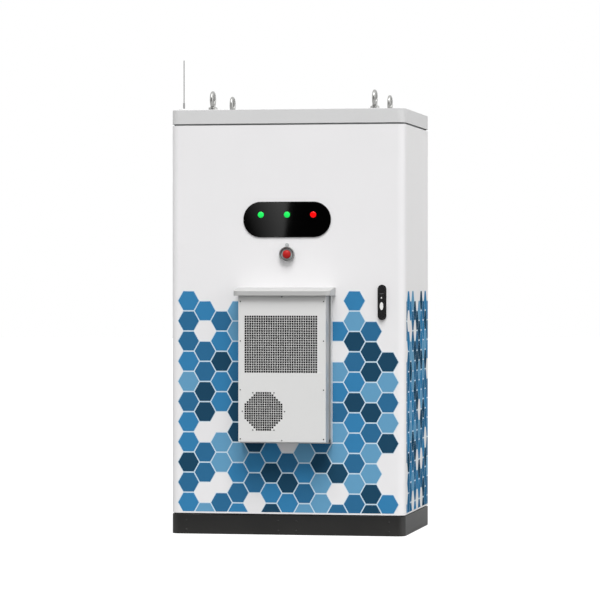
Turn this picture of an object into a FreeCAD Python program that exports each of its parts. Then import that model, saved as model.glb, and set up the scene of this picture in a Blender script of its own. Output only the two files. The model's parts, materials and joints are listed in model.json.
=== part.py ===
"""Outdoor battery cabinet: framed sheet shell on a plinth, two racks of battery and power modules,
and a full overlay door with an air conditioner, lamps, a stop button and a rod lock turned by a swing handle.
The origin is on the floor under the middle of the cabinet. X is to the right, Y to the back, Z up."""
import FreeCAD, Part
import math
import os
import Sketcher

doc = FreeCAD.newDocument("BatteryCabinet")
sheet = doc.addObject("Spreadsheet::Sheet", "Sizes")

# Driving dimensions in millimetres: word, size, meaning
DIMENSIONS = [
    ("cab_width", 1200, "overall width of the body and the door"),
    ("cab_depth", 850, "from the door's face to the rear panel's face"),
    ("corner_round", 40, "outer radius of every upright corner"),
    ("skin", 2, "thickness of the outer sheets"),
    ("plate_gauge", 3, "thickness of the floor, brackets and rails"),
    ("close_gap", 0.3, "clearance between faces that pass or nearly touch"),
    ("pin_gap", 0.05, "radial clearance of pins and shafts"),
    ("plinth_height", 100, "height of the plinth"),
    ("plinth_flange", 60, "width of the plinth's inward flange"),
    ("anchor_inset", 40, "anchor hole's distance from the plinth's outer faces"),
    ("anchor_radius", 7, "radius of the floor anchor holes"),
    ("skirt_lift", 1, "gap between the plinth's skirt and the floor"),
    ("strip_height", 5, "height of the rubber strip that makes the shadow gap"),
    ("strip_width", 20, "width of the rubber strip"),
    ("neck_inset", 14, "how far the shadow gaps lie behind the outer faces"),
    ("body_height", 1966, "height of the walls and the door"),
    ("roof_gap", 8, "height of the dark gap under the roof"),
    ("roof_lip", 71, "height of the roof's straight edge"),
    ("roof_rise", 22, "rise of the hipped middle of the roof"),
    ("roof_border", 90, "flat border around the hip"),
    ("ridge_length", 500, "length of the roof's flat ridge"),
    ("ridge_width", 60, "width of the roof's flat ridge"),
    ("door_thick", 50, "thickness of the door"),
    ("seal_gap", 6, "gap between door and body, filled by the seal"),
    ("seal_width", 12, "width of the door seal"),
    ("seal_inset", 29, "seal's distance from the side faces"),
    ("seal_margin", 7, "seal's distance from the body's lower edge"),
    ("front_flange", 45, "width of the side panels' front flanges"),
    ("rear_wrap", 120, "how far the side panels wrap round the back"),
    ("post_width", 50, "width of the corner posts"),
    ("post_depth", 40, "depth of the corner posts and the rails"),
    ("louver_length", 300, "length of the rear louver slots"),
    ("louver_height", 6, "height of a louver slot"),
    ("louver_drop", 366, "lowest louver's depth under the body's upper edge"),
    ("louver_pitch", 30, "spacing of the louver slots"),
    ("louver_rows", 8, "number of louver slots"),
    ("gland_x", 300, "middle of the cable plate along X"),
    ("gland_y", 200, "middle of the cable plate along Y"),
    ("gland_width", 400, "width of the floor's opening under the cable plate"),
    ("gland_depth", 200, "depth of that opening"),
    ("gland_lap", 20, "how far the cable plate laps over the floor"),
    ("entry_pitch", 200, "spacing of the two cable entries"),
    ("entry_width", 100, "width of a cable entry"),
    ("entry_depth", 60, "depth of a cable entry"),
    ("entry_flange", 12, "flange round a cable entry's frame"),
    ("entry_height", 14, "height of a cable entry's frame"),
    ("eye_inset_x", 180, "lifting eyes' distance from the side faces"),
    ("eye_inset_y", 175, "lifting eyes' distance from the front and rear faces"),
    ("eye_ring", 35, "radius of the eye's ring at the middle of its bar"),
    ("eye_bar", 9, "radius of the eye's bar"),
    ("eye_collar", 23, "radius of the eye's collar"),
    ("eye_collar_height", 12, "height of the eye's collar"),
    ("seat_half", 30, "half the width of the roof's square seats for the eyes"),
    ("seat_height", 10, "height of the seats above the roof's border"),
    ("antenna_inset", 55, "antenna's distance from the left and the front face"),
    ("antenna_base", 25, "radius of the antenna's foot"),
    ("antenna_foot_height", 9, "height of the antenna's foot"),
    ("whip_radius", 2.5, "radius of the whip"),
    ("whip_length", 247, "length of the whip above its foot"),
    ("whip_nut_height", 30, "height of the hexagon at the whip's root"),
    ("rack_margin", 6, "gap between a corner post and the rack beside it"),
    ("rack_split", 64, "gap between the two racks"),
    ("rack_ahead", 125, "from the door's face to the front of the racks"),
    ("rack_behind", 65, "from the back of the racks to the rear panel's face"),
    ("upright", 30, "width and depth of a rack upright"),
    ("foot_width", 22, "width of the shelf rails' supporting legs"),
    ("shelf_height", 40, "height of the shelf rails' upright legs"),
    ("module_play", 5, "gap between a module's case and the uprights, each side"),
    ("module_room", 60, "free depth behind the modules inside a rack"),
    ("module_height", 270, "height of a battery module"),
    ("module_gap", 18, "gap between two modules"),
    ("module_lift", 52, "first module's height over the floor plate"),
    ("panel_lap", 16, "how far a front panel laps over each upright"),
    ("control_gap", 40, "extra gap under the control unit"),
    ("control_height", 180, "height of the battery control unit"),
    ("converter_height", 500, "height of the power converter"),
    ("slot_offset", 60, "first air slot's distance to the left of a panel's middle"),
    ("slot_width", 6, "width of the air slots in the front panels"),
    ("slot_margin", 30, "air slots' distance from a panel's edges"),
    ("slot_pitch", 19, "spacing of the air slots"),
    ("slot_count", 7, "number of air slots in a panel"),
    ("bow_inset", 30, "pull handles' distance from the case's side"),
    ("bow_length", 90, "length of the modules' pull handles"),
    ("control_bow", 70, "length of the control unit's pull handles"),
    ("bow_reach", 26, "how far a pull handle stands out"),
    ("bow_bar", 7, "width and thickness of a pull handle's bar"),
    ("mount_half", 230, "half the height of the mounting panel"),
    ("mount_gap", 10, "gap between the converter and the mounting panel"),
    ("breaker_width", 105, "width of the main breaker"),
    ("breaker_height", 160, "height of the main breaker"),
    ("breaker_depth", 70, "depth of the main breaker"),
    ("breaker_round", 4, "radius of the breaker's upright edges"),
    ("breaker_hub", 12, "radius of the breaker lever's hub"),
    ("breaker_slot", 28, "width of the slot that the lever moves in"),
    ("breaker_slot_height", 60, "height of that slot"),
    ("toggle_width", 18, "width of the breaker's toggle"),
    ("toggle_length", 28, "length of the toggle from the hub's middle"),
    ("toggle_thick", 7, "thickness of the toggle"),
    ("bottle_radius", 60, "radius of the fire suppressant bottle"),
    ("bottle_height", 330, "height of the bottle"),
    ("valve_radius", 16, "radius of the bottle's valve"),
    ("valve_height", 50, "height of the bottle's valve"),
    ("liner_rim", 20, "how far the liner's middle sheet reaches past the air windows"),
    ("bar_wide", 30, "width of the door's stiffening bars"),
    ("bar_below", 50, "lower cross bar's distance under the lower air window"),
    ("bar_above", 40, "upper cross bar's distance over the hood"),
    ("hinge_inset", 13, "hinge pin's distance from the door's left face"),
    ("hinge_ahead", 14, "hinge pin's distance ahead of the door's rear face"),
    ("hinge_pin", 4, "radius of the hinge pins"),
    ("knuckle", 7, "half the width of the square hinge knuckles"),
    ("knuckle_height", 34, "height of one hinge knuckle"),
    ("leaf_thick", 6, "thickness of the hinge leaves"),
    ("leaf_lap", 5, "how far the hinge leaves' ends lie inside the front flange"),
    ("notch_gap", 6, "clearance round a hinge knuckle in the door's edge"),
    ("hinge_low_gap", 195, "lowest hinge's height over the door's lower edge"),
    ("hinge_high_gap", 255, "highest hinge's distance under the door's upper edge"),
    ("fascia_length", 450, "length of the lamp panel"),
    ("fascia_height", 180, "height of the lamp panel"),
    ("fascia_z", 1593, "middle height of the lamp panel"),
    ("fascia_thick", 6, "thickness of the lamp panel"),
    ("lamp_spread", 134.5, "spacing of the lamps"),
    ("lamp_rise", 24, "lamps' height over the panel's middle"),
    ("lamp_radius", 16.5, "radius of the lamps"),
    ("lamp_reach", 5, "how far the lamps stand out of the panel"),
    ("stop_z", 1417, "height of the stop button"),
    ("guard_radius", 39, "outer radius of the stop button's guard"),
    ("guard_wall", 9, "wall of the guard"),
    ("guard_reach", 24, "how far the guard stands out"),
    ("lug_width", 20, "width of the lug over the guard"),
    ("lug_height", 18, "height of the lug over the guard"),
    ("lug_thick", 6, "thickness of the lug"),
    ("stop_radius", 21, "radius of the mushroom head"),
    ("stop_rim", 6, "height of the head's straight rim"),
    ("stop_crown", 8, "height of the head's middle over its rim"),
    ("crown_radius", 16, "radius of the head's raised middle"),
    ("stop_travel", 5, "travel of the stop button"),
    ("stem_radius", 8, "radius of the button's stem"),
    ("neck_radius", 11, "radius of the switch's neck in the door"),
    ("neck_depth", 30, "depth of the switch's neck behind the door's face"),
    ("collar_height", 8, "height of the switch's collar in front of the door"),
    ("collar_play", 3, "gap between the collar and the guard"),
    ("contact_half", 20, "half the width of the switch's contact block"),
    ("contact_depth", 12, "depth of the contact block"),
    ("handle_inset", 115, "middle of the handle from the door's right face"),
    ("handle_z", 1175, "middle height of the handle plate"),
    ("handle_width", 44, "width of the handle plate"),
    ("handle_length", 177, "length of the handle plate"),
    ("handle_plate", 6, "thickness of the handle plate"),
    ("shaft_rise", 63, "lock shaft's height over the plate's middle"),
    ("shaft_radius", 6, "radius of the lock shaft"),
    ("hub_rise", 18, "hub's height over the shaft"),
    ("hub_chamfer", 8, "chamfer of the hub's upper corners"),
    ("lever_width", 32, "width of the lever and the hub"),
    ("lever_thick", 12, "thickness of the lever and the hub"),
    ("lever_drop", 82, "lever's lower end under the plate's middle"),
    ("lift_drop", 22, "lever's pivot under the lock shaft"),
    ("tongue_width", 20, "width of the lever's tongue between the hub's ears"),
    ("tongue_radius", 5.5, "radius of the tongue's rounded end"),
    ("tongue_free", 2, "length of the tongue below the ears"),
    ("lift_pin", 2.5, "radius of the lever's pivot pin"),
    ("cover_drop", 19, "key cover's middle under the plate's middle"),
    ("cover_half", 11, "half the straight length of the key cover"),
    ("cover_radius", 9, "radius of the key cover's ends"),
    ("cover_thick", 2.5, "thickness of the key cover"),
    ("strap_length", 41, "from the key cover's middle to its rivet"),
    ("strap_half", 5, "half the width of the key cover's strap"),
    ("strap_thick", 1.5, "thickness of the strap"),
    ("rivet_radius", 2.5, "radius of the key cover's rivet"),
    ("rivet_height", 3, "height of the key cover's rivet"),
    ("gear_module", 2, "tooth module of the lock's pinion and racks"),
    ("gear_teeth", 14, "teeth of the pinion"),
    ("gear_backlash", 0.3, "play between pinion and rack"),
    ("gear_thick", 4.2, "thickness of the pinion and the rods"),
    ("rack_teeth", 9, "teeth on each rod's rack"),
    ("rod_width", 11, "width of a rod behind its teeth"),
    ("rod_tail", 16, "length of a rod past the shaft, locked"),
    ("rod_high_gap", 47, "upper rod's tip under the door's upper edge, locked"),
    ("rod_low_gap", 31, "lower rod's tip over the door's lower edge, locked"),
    ("guide_height", 24, "height of the rod guides"),
    ("upper_guide_start", 182, "first upper guide's height over the shaft"),
    ("upper_guide_end", 124, "last upper guide's depth under the upper rod's tip"),
    ("lower_guide_start", 278, "first lower guide's depth under the shaft"),
    ("lower_guide_end", 114, "last lower guide's height over the lower rod's tip"),
    ("guide_shift", 5, "lower middle guide's rise over the middle of its neighbours"),
    ("gearcase_height", 50, "height of the strap over the pinion"),
    ("ac_width", 446, "width of the air conditioner"),
    ("ac_low", 474, "height of its lower edge"),
    ("ac_height", 756, "height of its front cover"),
    ("ac_cover_depth", 100, "depth of its front cover"),
    ("ac_base_depth", 45, "depth of the recessed base behind the cover"),
    ("ac_recess", 8, "how far the base stands inside the cover's outline"),
    ("ac_round", 4, "radius of the cover's corners"),
    ("hood_overhang", 25, "how far the hood reaches past the cover"),
    ("hood_drop", 21, "how far the hood hangs over the cover's upper edge"),
    ("hood_room", 2, "height of the hood's front lip over the cover"),
    ("hood_slope", 18, "rise of the hood from its lip to the door"),
    ("hood_flat", 30, "level stretch of the hood next to the door"),
    ("hood_round", 35, "radius of the hood's front corners"),
    ("intake_inset", 33, "intake grille's distance from the cover's left face"),
    ("intake_rise", 349, "intake grille's height over the cover's lower edge"),
    ("intake_pitch", 12, "spacing of the intake grille's holes"),
    ("intake_hole", 9.5, "side of the intake grille's square holes"),
    ("intake_columns", 31, "columns of holes in the intake grille"),
    ("intake_rows", 24, "rows of holes in the intake grille"),
    ("fan_inset", 129, "outer fan's distance from the cover's left face"),
    ("fan_rise", 155, "outer fan's height over the cover's lower edge"),
    ("fan_pitch", 11.5, "spacing of the fan grille's holes"),
    ("fan_hole", 9, "side of the fan grille's square holes"),
    ("fan_radius", 88, "radius of the outer fan"),
    ("bar_edge", 8, "rim of the bar plates round the grilles"),
    ("room_fan_radius", 80, "radius of the inner fan"),
    ("duct_width", 240, "width of the two air windows in the door"),
    ("duct_height", 180, "height of the two air windows"),
    ("return_rise", 516, "upper air window's height over the cover's lower edge"),
    ("supply_rise", 36, "lower air window's height over the cover's lower edge"),
    ("coil_depth", 50, "depth of the heat exchanger"),
    ("fin_pitch", 15, "spacing of the grooves in the heat exchanger"),
    ("fin_groove", 9, "width of a groove"),
    ("fin_margin", 10, "rim above and below the grooves"),
    ("fin_depth", 6, "depth of a groove"),
    ("fin_count", 23, "number of grooves"),
    ("motor_half", 32, "half the width of the fan motors"),
    ("motor_depth", 36, "depth of the outer fan's motor"),
    ("motor_shaft", 4, "radius of the motor shafts"),
    ("outer_shaft", 62, "length of the outer motor's shaft from the cover's back"),
    ("fan_clear", 6, "gap between the outer motor and its fan"),
    ("room_motor_depth", 12, "depth of the inner fan's motor"),
    ("room_shaft", 34, "length of the inner motor's shaft from the base"),
    ("fan_hub", 22, "radius of the fan hubs"),
    ("fan_depth", 18, "depth of the fan hubs"),
    ("blade_thick", 2, "thickness of the fan blades"),
]
MODULE_COUNT = 5  # battery modules in the left rack
RING_SIDES = 16  # flat sides of the lifting eye's ring
RING_STEP = 2 * math.pi / RING_SIDES
CUT_PAST = 9  # how far a cutting outline runs past the faces it opens
TOGGLE_LEAN = 150  # lean of the breaker's toggle, in degrees from straight down
PRESSURE = math.radians(20)  # flank angle of the lock's teeth
ADDENDUM = 0.8  # height of a tooth over the pitch line, in modules
DEDENDUM = 1.05  # depth of a gap under the pitch line, in modules
FLANK_STEPS = 3  # straight steps along a tooth's curved flank
FAN_SIDE = 17  # holes across the eight-sided fan grille
FAN_FLAT = 7  # holes along its flat sides
BAR_STEP = 3  # rows of holes between two bars behind the grilles
BLADE_PITCH = 20  # lean of the fan blades in degrees


class Size:
    """A length that knows both its value and its formula in words of the sheet."""

    def __init__(self, text, value):
        self.text = text
        self.value = float(value)

    def join(self, sign, other, value, swap=False):
        mine = "(" + self.text + ")"
        theirs = "(" + text_of(other) + ")"
        pair = (theirs, mine) if swap else (mine, theirs)
        return Size(sign.join(pair), value)

    def __add__(self, other):
        return self.join(" + ", other, self.value + value_of(other))

    def __radd__(self, other):
        return self.join(" + ", other, value_of(other) + self.value, swap=True)

    def __sub__(self, other):
        return self.join(" - ", other, self.value - value_of(other))

    def __rsub__(self, other):
        return self.join(" - ", other, value_of(other) - self.value, swap=True)

    def __mul__(self, other):
        return self.join(" * ", other, self.value * value_of(other))

    def __rmul__(self, other):
        return self.join(" * ", other, value_of(other) * self.value, swap=True)

    def __truediv__(self, other):
        return self.join(" / ", other, self.value / value_of(other))

    def __neg__(self):
        return Size("-(" + self.text + ")", -self.value)


def value_of(size):
    return size.value if isinstance(size, Size) else float(size)


def text_of(size):
    return size.text if isinstance(size, Size) else repr(float(size))


class Named:
    """Holds one attribute for each word of the sheet."""


s = Named()
for row, (word, number, meaning) in enumerate(DIMENSIONS, 1):
    sheet.set("A%d" % row, word)
    sheet.set("B%d" % row, str(number))
    sheet.set("C%d" % row, meaning)
    sheet.setAlias("B%d" % row, word)
    setattr(s, word, Size("Sizes." + word, number))
doc.recompute()


# Drawing kit: sketches whose every line is held by a formula of the sheet

def bind(thing, prop, size):
    """Sets a property from a size, by its formula where it has one."""
    if isinstance(size, Size):
        thing.setExpression(prop, size.text)
    else:
        setattr(thing, prop, size)


def place(thing, at, turn=None):
    spot = FreeCAD.Vector(*[value_of(part) for part in at])
    thing.Placement = FreeCAD.Placement(spot, turn or FreeCAD.Rotation())
    for axis, part in zip("xyz", at):
        if isinstance(part, Size):
            thing.setExpression("Placement.Base." + axis, part.text)
    return thing


def origin_plane(body, role):
    return [part for part in body.Origin.OriginFeatures if part.Role == role][0]


def is_level(first, last, axis):
    return abs(value_of(first[axis]) - value_of(last[axis])) < 1e-6


def sketch_on(body, role, lift=0):
    """An empty sketch on one of the body's own planes, moved along that plane's normal."""
    sketch = body.newObject("Sketcher::SketchObject", "Sketch")
    sketch.AttachmentSupport = [(origin_plane(body, role), "")]
    sketch.MapMode = "FlatFace"
    shift = FreeCAD.Vector(0, 0, value_of(lift))
    sketch.AttachmentOffset = FreeCAD.Placement(shift, FreeCAD.Rotation())
    if isinstance(lift, Size):
        sketch.setExpression("AttachmentOffset.Base.z", lift.text)
    return sketch


def hold(sketch, kind, geometry, vertex, size):
    """Fixes one coordinate of a vertex, or one radius, to a size."""
    if kind == "Radius":
        index = sketch.addConstraint(Sketcher.Constraint(kind, geometry, value_of(size)))
    elif abs(value_of(size)) < 1e-9:
        axis = -2 if kind == "DistanceX" else -1
        sketch.addConstraint(Sketcher.Constraint("PointOnObject", geometry, vertex, axis))
        return
    else:
        index = sketch.addConstraint(
            Sketcher.Constraint(kind, -1, 1, geometry, vertex, value_of(size)))
    if isinstance(size, Size):
        sketch.setExpression("Constraints[%d]" % index, size.text)


def outline(sketch, corners):
    """A closed outline. Each corner is (x, y) or (x, y, radius); rounded ones join level and upright sides."""
    count = len(corners)
    points = [FreeCAD.Vector(value_of(c[0]), value_of(c[1]), 0) for c in corners]
    radii = [c[2] if len(c) > 2 else None for c in corners]

    def toward(index, other):
        if radii[index] is None:
            return points[index]
        step = (points[other] - points[index]).normalize()
        return points[index] + step * value_of(radii[index])

    following = [(i + 1) % count for i in range(count)]
    lines = []
    for i, j in enumerate(following):
        side = Part.LineSegment(toward(i, j), toward(j, i))
        lines.append(sketch.addGeometry(side, False))
    level = [is_level(corners[i], corners[j], 1) for i, j in enumerate(following)]
    upright = [is_level(corners[i], corners[j], 0) for i, j in enumerate(following)]
    for i in range(count):
        if level[i]:
            sketch.addConstraint(Sketcher.Constraint("Horizontal", lines[i]))
            hold(sketch, "DistanceY", lines[i], 1, corners[i][1])
        elif upright[i]:
            sketch.addConstraint(Sketcher.Constraint("Vertical", lines[i]))
            hold(sketch, "DistanceX", lines[i], 1, corners[i][0])
    for i in range(count):
        line, last = lines[i], lines[i - 1]
        if radii[i] is None:
            sketch.addConstraint(Sketcher.Constraint("Coincident", last, 2, line, 1))
            if not (upright[i] or upright[i - 1]):
                hold(sketch, "DistanceX", line, 1, corners[i][0])
            if not (level[i] or level[i - 1]):
                hold(sketch, "DistanceY", line, 1, corners[i][1])
            continue
        start, end = toward(i, i - 1), toward(i, following[i])
        centre = start + end - points[i]
        crest = centre + (points[i] - centre).normalize() * value_of(radii[i])
        turn = (points[i] - start).cross(end - points[i]).z
        bend = sketch.addGeometry(Part.Arc(start, crest, end), False)
        first, second = (1, 2) if turn > 0 else (2, 1)
        sketch.addConstraint(Sketcher.Constraint("Tangent", last, 2, bend, first))
        sketch.addConstraint(Sketcher.Constraint("Tangent", line, 1, bend, second))
        hold(sketch, "Radius", bend, None, radii[i])


def rectangle(low, high, radius=None):
    """The four corners of a rectangle from its low and high corner."""
    ends = [(low[0], low[1]), (high[0], low[1]), (high[0], high[1]), (low[0], high[1])]
    return ends if radius is None else [end + (radius,) for end in ends]


def centred(x, y, width, height):
    """The four corners of a rectangle from its middle and its sizes."""
    return rectangle((x - width / 2, y - height / 2), (x + width / 2, y + height / 2))


def circle(sketch, centre, radius):
    spot = FreeCAD.Vector(value_of(centre[0]), value_of(centre[1]), 0)
    edge = sketch.addGeometry(Part.Circle(spot, FreeCAD.Vector(0, 0, 1), value_of(radius)), False)
    hold(sketch, "DistanceX", edge, 3, centre[0])
    hold(sketch, "DistanceY", edge, 3, centre[1])
    hold(sketch, "Radius", edge, None, radius)


def pill(sketch, first, second, radius):
    """A slot outline between two end centres, level or upright, first one left or lower."""
    reach = value_of(radius)
    ends = [FreeCAD.Vector(value_of(c[0]), value_of(c[1]), 0) for c in (first, second)]
    along = (ends[1] - ends[0]).normalize()
    side = FreeCAD.Vector(along.y, -along.x, 0) * reach
    tip = along * reach
    right = sketch.addGeometry(Part.LineSegment(ends[0] + side, ends[1] + side), False)
    far = sketch.addGeometry(Part.Arc(ends[1] + side, ends[1] + tip, ends[1] - side), False)
    left = sketch.addGeometry(Part.LineSegment(ends[1] - side, ends[0] - side), False)
    near = sketch.addGeometry(Part.Arc(ends[0] - side, ends[0] - tip, ends[0] + side), False)
    for one, one_end, other, other_end in ((right, 2, far, 1), (far, 2, left, 1),
                                           (left, 2, near, 1), (near, 2, right, 1)):
        sketch.addConstraint(Sketcher.Constraint("Tangent", one, one_end, other, other_end))
    for arc, centre in ((near, first), (far, second)):
        hold(sketch, "DistanceX", arc, 3, centre[0])
        hold(sketch, "DistanceY", arc, 3, centre[1])
    hold(sketch, "Radius", near, None, radius)


# Solids

nodes = []


def node(thing, label):
    """Marks a finished sub-part by the name that its file takes."""
    thing.Label = label
    nodes.append(thing)
    return thing


def new_body(name="Body"):
    return doc.addObject("PartDesign::Body", name)


def pad(body, sketch, length):
    feature = body.newObject("PartDesign::Pad", "Pad")
    feature.Profile = sketch
    bind(feature, "Length", length)
    return feature


def pocket(body, sketch, length=None, reverse=False):
    """A cut to a depth, or right through both ways where no depth is given."""
    feature = body.newObject("PartDesign::Pocket", "Pocket")
    feature.Profile = sketch
    if length is None:
        feature.Type = "ThroughAll"
        feature.SideType = "Symmetric"
    else:
        bind(feature, "Length", length)
        feature.Reversed = reverse
    return feature


def repeat(body, feature, sketch, axis, pitch, count):
    """Repeats a cut along an axis of its sketch."""
    rows = body.newObject("PartDesign::LinearPattern", "Row")
    rows.Originals = [feature]
    rows.Direction = (sketch, [axis])
    bind(rows, "Length", pitch * (count - 1))
    rows.setExpression("Occurrences", count.text)
    body.Tip = rows


def draw(sketch, shapes):
    """Draws loops into a sketch: lists of corners, (centre, radius) or (centre, centre, radius)."""
    for shape in shapes:
        if isinstance(shape, list):
            outline(sketch, shape)
        elif len(shape) == 2:
            circle(sketch, *shape)
        else:
            pill(sketch, *shape)


def plane_lift(role, level):
    """A level along the axis a plane looks along; the upright front plane looks to -Y."""
    return -level if role == "XZ_Plane" else level


def slab(role, level, thickness, *shapes):
    """A body padded from one plane: outlines first, then the holes in them."""
    body = new_body()
    sketch = sketch_on(body, role, plane_lift(role, level))
    draw(sketch, shapes)
    pad(body, sketch, thickness)
    return body


def cut_through(body, role, *shapes):
    sketch = sketch_on(body, role)
    draw(sketch, shapes)
    return pocket(body, sketch)


def turned(profile, at, turn=None):
    """A turned piece: its half profile (radius, height) goes once round the upright axis."""
    body = new_body()
    sketch = sketch_on(body, "XZ_Plane")
    outline(sketch, profile)
    feature = body.newObject("PartDesign::Revolution", "Revolution")
    feature.Profile = sketch
    feature.ReferenceAxis = (sketch, ["V_Axis"])
    feature.Angle = 360
    return place(body, at, turn)


FORWARD = FreeCAD.Rotation(FreeCAD.Vector(1, 0, 0), 90)  # turns the upright axis to the front
SIDEWAYS = FreeCAD.Rotation(FreeCAD.Vector(0, 1, 0), 90)  # turns the upright axis to the right


def block(low, high):
    """A plain block between two corners."""
    box = doc.addObject("Part::Box", "Block")
    for prop, axis in (("Length", 0), ("Width", 1), ("Height", 2)):
        bind(box, prop, high[axis] - low[axis])
    return place(box, low)


def rod(radius, length, at, turn=None):
    cylinder = doc.addObject("Part::Cylinder", "Rod")
    bind(cylinder, "Radius", radius)
    bind(cylinder, "Height", length)
    return place(cylinder, at, turn)


def fused(*pieces):
    result = doc.addObject("Part::MultiFuse", "Fuse")
    result.Shapes = list(pieces)
    return result


def cut(base, tool):
    result = doc.addObject("Part::Cut", "Cut")
    result.Base = base
    result.Tool = tool
    return result


def group(pieces):
    """Separate solids that share one node."""
    result = doc.addObject("Part::Compound", "Group")
    result.Links = list(pieces)
    return result


def mirrored(source):
    result = doc.addObject("Part::Mirroring", "Mirror")
    result.Source = source
    result.Base = FreeCAD.Vector(0, 0, 0)
    result.Normal = FreeCAD.Vector(1, 0, 0)
    return result


def channel(role, start, length, low, high, wall, open_side):
    """A folded channel: web and two legs, with the open side named by its sketch direction."""
    x1, y1 = low
    x2, y2 = high
    shapes = {
        "right": [(x1, y1), (x2, y1), (x2, y1 + wall), (x1 + wall, y1 + wall),
                  (x1 + wall, y2 - wall), (x2, y2 - wall), (x2, y2), (x1, y2)],
        "left": [(x1, y1), (x2, y1), (x2, y2), (x1, y2),
                 (x1, y2 - wall), (x2 - wall, y2 - wall), (x2 - wall, y1 + wall), (x1, y1 + wall)],
        "up": [(x1, y1), (x2, y1), (x2, y2), (x2 - wall, y2),
               (x2 - wall, y1 + wall), (x1 + wall, y1 + wall), (x1 + wall, y2), (x1, y2)],
        "down": [(x1, y1), (x1 + wall, y1), (x1 + wall, y2 - wall), (x2 - wall, y2 - wall),
                 (x2 - wall, y1), (x2, y1), (x2, y2), (x1, y2)],
    }
    return slab(role, start, length, shapes[open_side])


# Levels and faces that several pieces share

half_width = s.cab_width / 2
front = -s.cab_depth / 2
back = s.cab_depth / 2
body_low = s.plinth_height + s.strip_height
body_high = body_low + s.body_height
roof_low = body_high + s.roof_gap
roof_edge = roof_low + s.roof_lip
door_back = front + s.door_thick
body_front = door_back + s.seal_gap
inner_x = half_width - s.skin
inner_back = back - s.skin
floor_top = body_low + s.plate_gauge
deck_low = body_high - s.skin
inner_round = s.corner_round - s.skin
neck_x = half_width - s.neck_inset
neck_y = back - s.neck_inset
eye_x = half_width - s.eye_inset_x
eye_y = back - s.eye_inset_y
rack_front = s.cab_depth / 2 - s.rack_ahead
rack_back = s.cab_depth / 2 - s.rack_behind
rack_side = inner_x - s.post_width - s.rack_margin
rack_opening = rack_side - s.rack_split / 2 - 2 * s.upright
rack_middle = s.rack_split / 2 + s.upright + rack_opening / 2
module_width = rack_opening - 2 * s.module_play
module_depth = rack_front + rack_back - s.module_room
module_pitch = s.module_height + s.module_gap
first_module = floor_top + s.module_lift
converter_level = first_module + module_pitch * MODULE_COUNT / 2
breaker_z = converter_level + s.converter_height + s.mount_gap + s.mount_half
panel_half = rack_opening / 2 + s.panel_lap


def make_plinth():
    """Welded ring with an inward flange, anchor holes in its corners, and a two-part skirt round it."""
    x = half_width - s.skin
    y = back - s.skin
    outer = rectangle((-x, -y), (x, y), inner_round)
    wall_x = x - s.plate_gauge
    wall_y = y - s.plate_gauge
    inner = rectangle((-wall_x, -wall_y), (wall_x, wall_y), inner_round)
    lip_x = x - s.plinth_flange
    lip_y = y - s.plinth_flange
    window = rectangle((-lip_x, -lip_y), (lip_x, lip_y))
    hole_x = half_width - s.anchor_inset
    hole_y = back - s.anchor_inset
    holes = [((i * hole_x, j * hole_y), s.anchor_radius) for i in (-1, 1) for j in (-1, 1)]
    ring = slab("XY_Plane", 0, s.plate_gauge, outer, window, *holes)
    for level, height, loop in ((s.plate_gauge, s.plinth_height - 2 * s.plate_gauge, inner),
                                (s.plinth_height - s.plate_gauge, s.plate_gauge, window)):
        sketch = sketch_on(ring, "XY_Plane", level)
        draw(sketch, (outer, loop))
        pad(ring, sketch, height)
    node(ring, "plinth_frame")
    half = [(0, front), (half_width, front, s.corner_round), (half_width, back, s.corner_round),
            (0, back), (0, y), (x, y, inner_round), (x, -y, inner_round), (0, -y)]
    skirt = slab("XY_Plane", s.skirt_lift, s.plinth_height - s.skirt_lift, half)
    node(group([skirt, mirrored(skirt)]), "plinth_skirts")
    bars = []
    for j in (-1, 1):
        low = -neck_y if j < 0 else neck_y - s.strip_width
        bars.append(block((-neck_x, low, s.plinth_height), (neck_x, low + s.strip_width, body_low)))
        side = -neck_x if j < 0 else neck_x - s.strip_width
        bars.append(block((side, s.strip_width - neck_y, s.plinth_height),
                          (side + s.strip_width, neck_y - s.strip_width, body_low)))
    node(group(bars), "plinth_rubber_strips")


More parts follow.
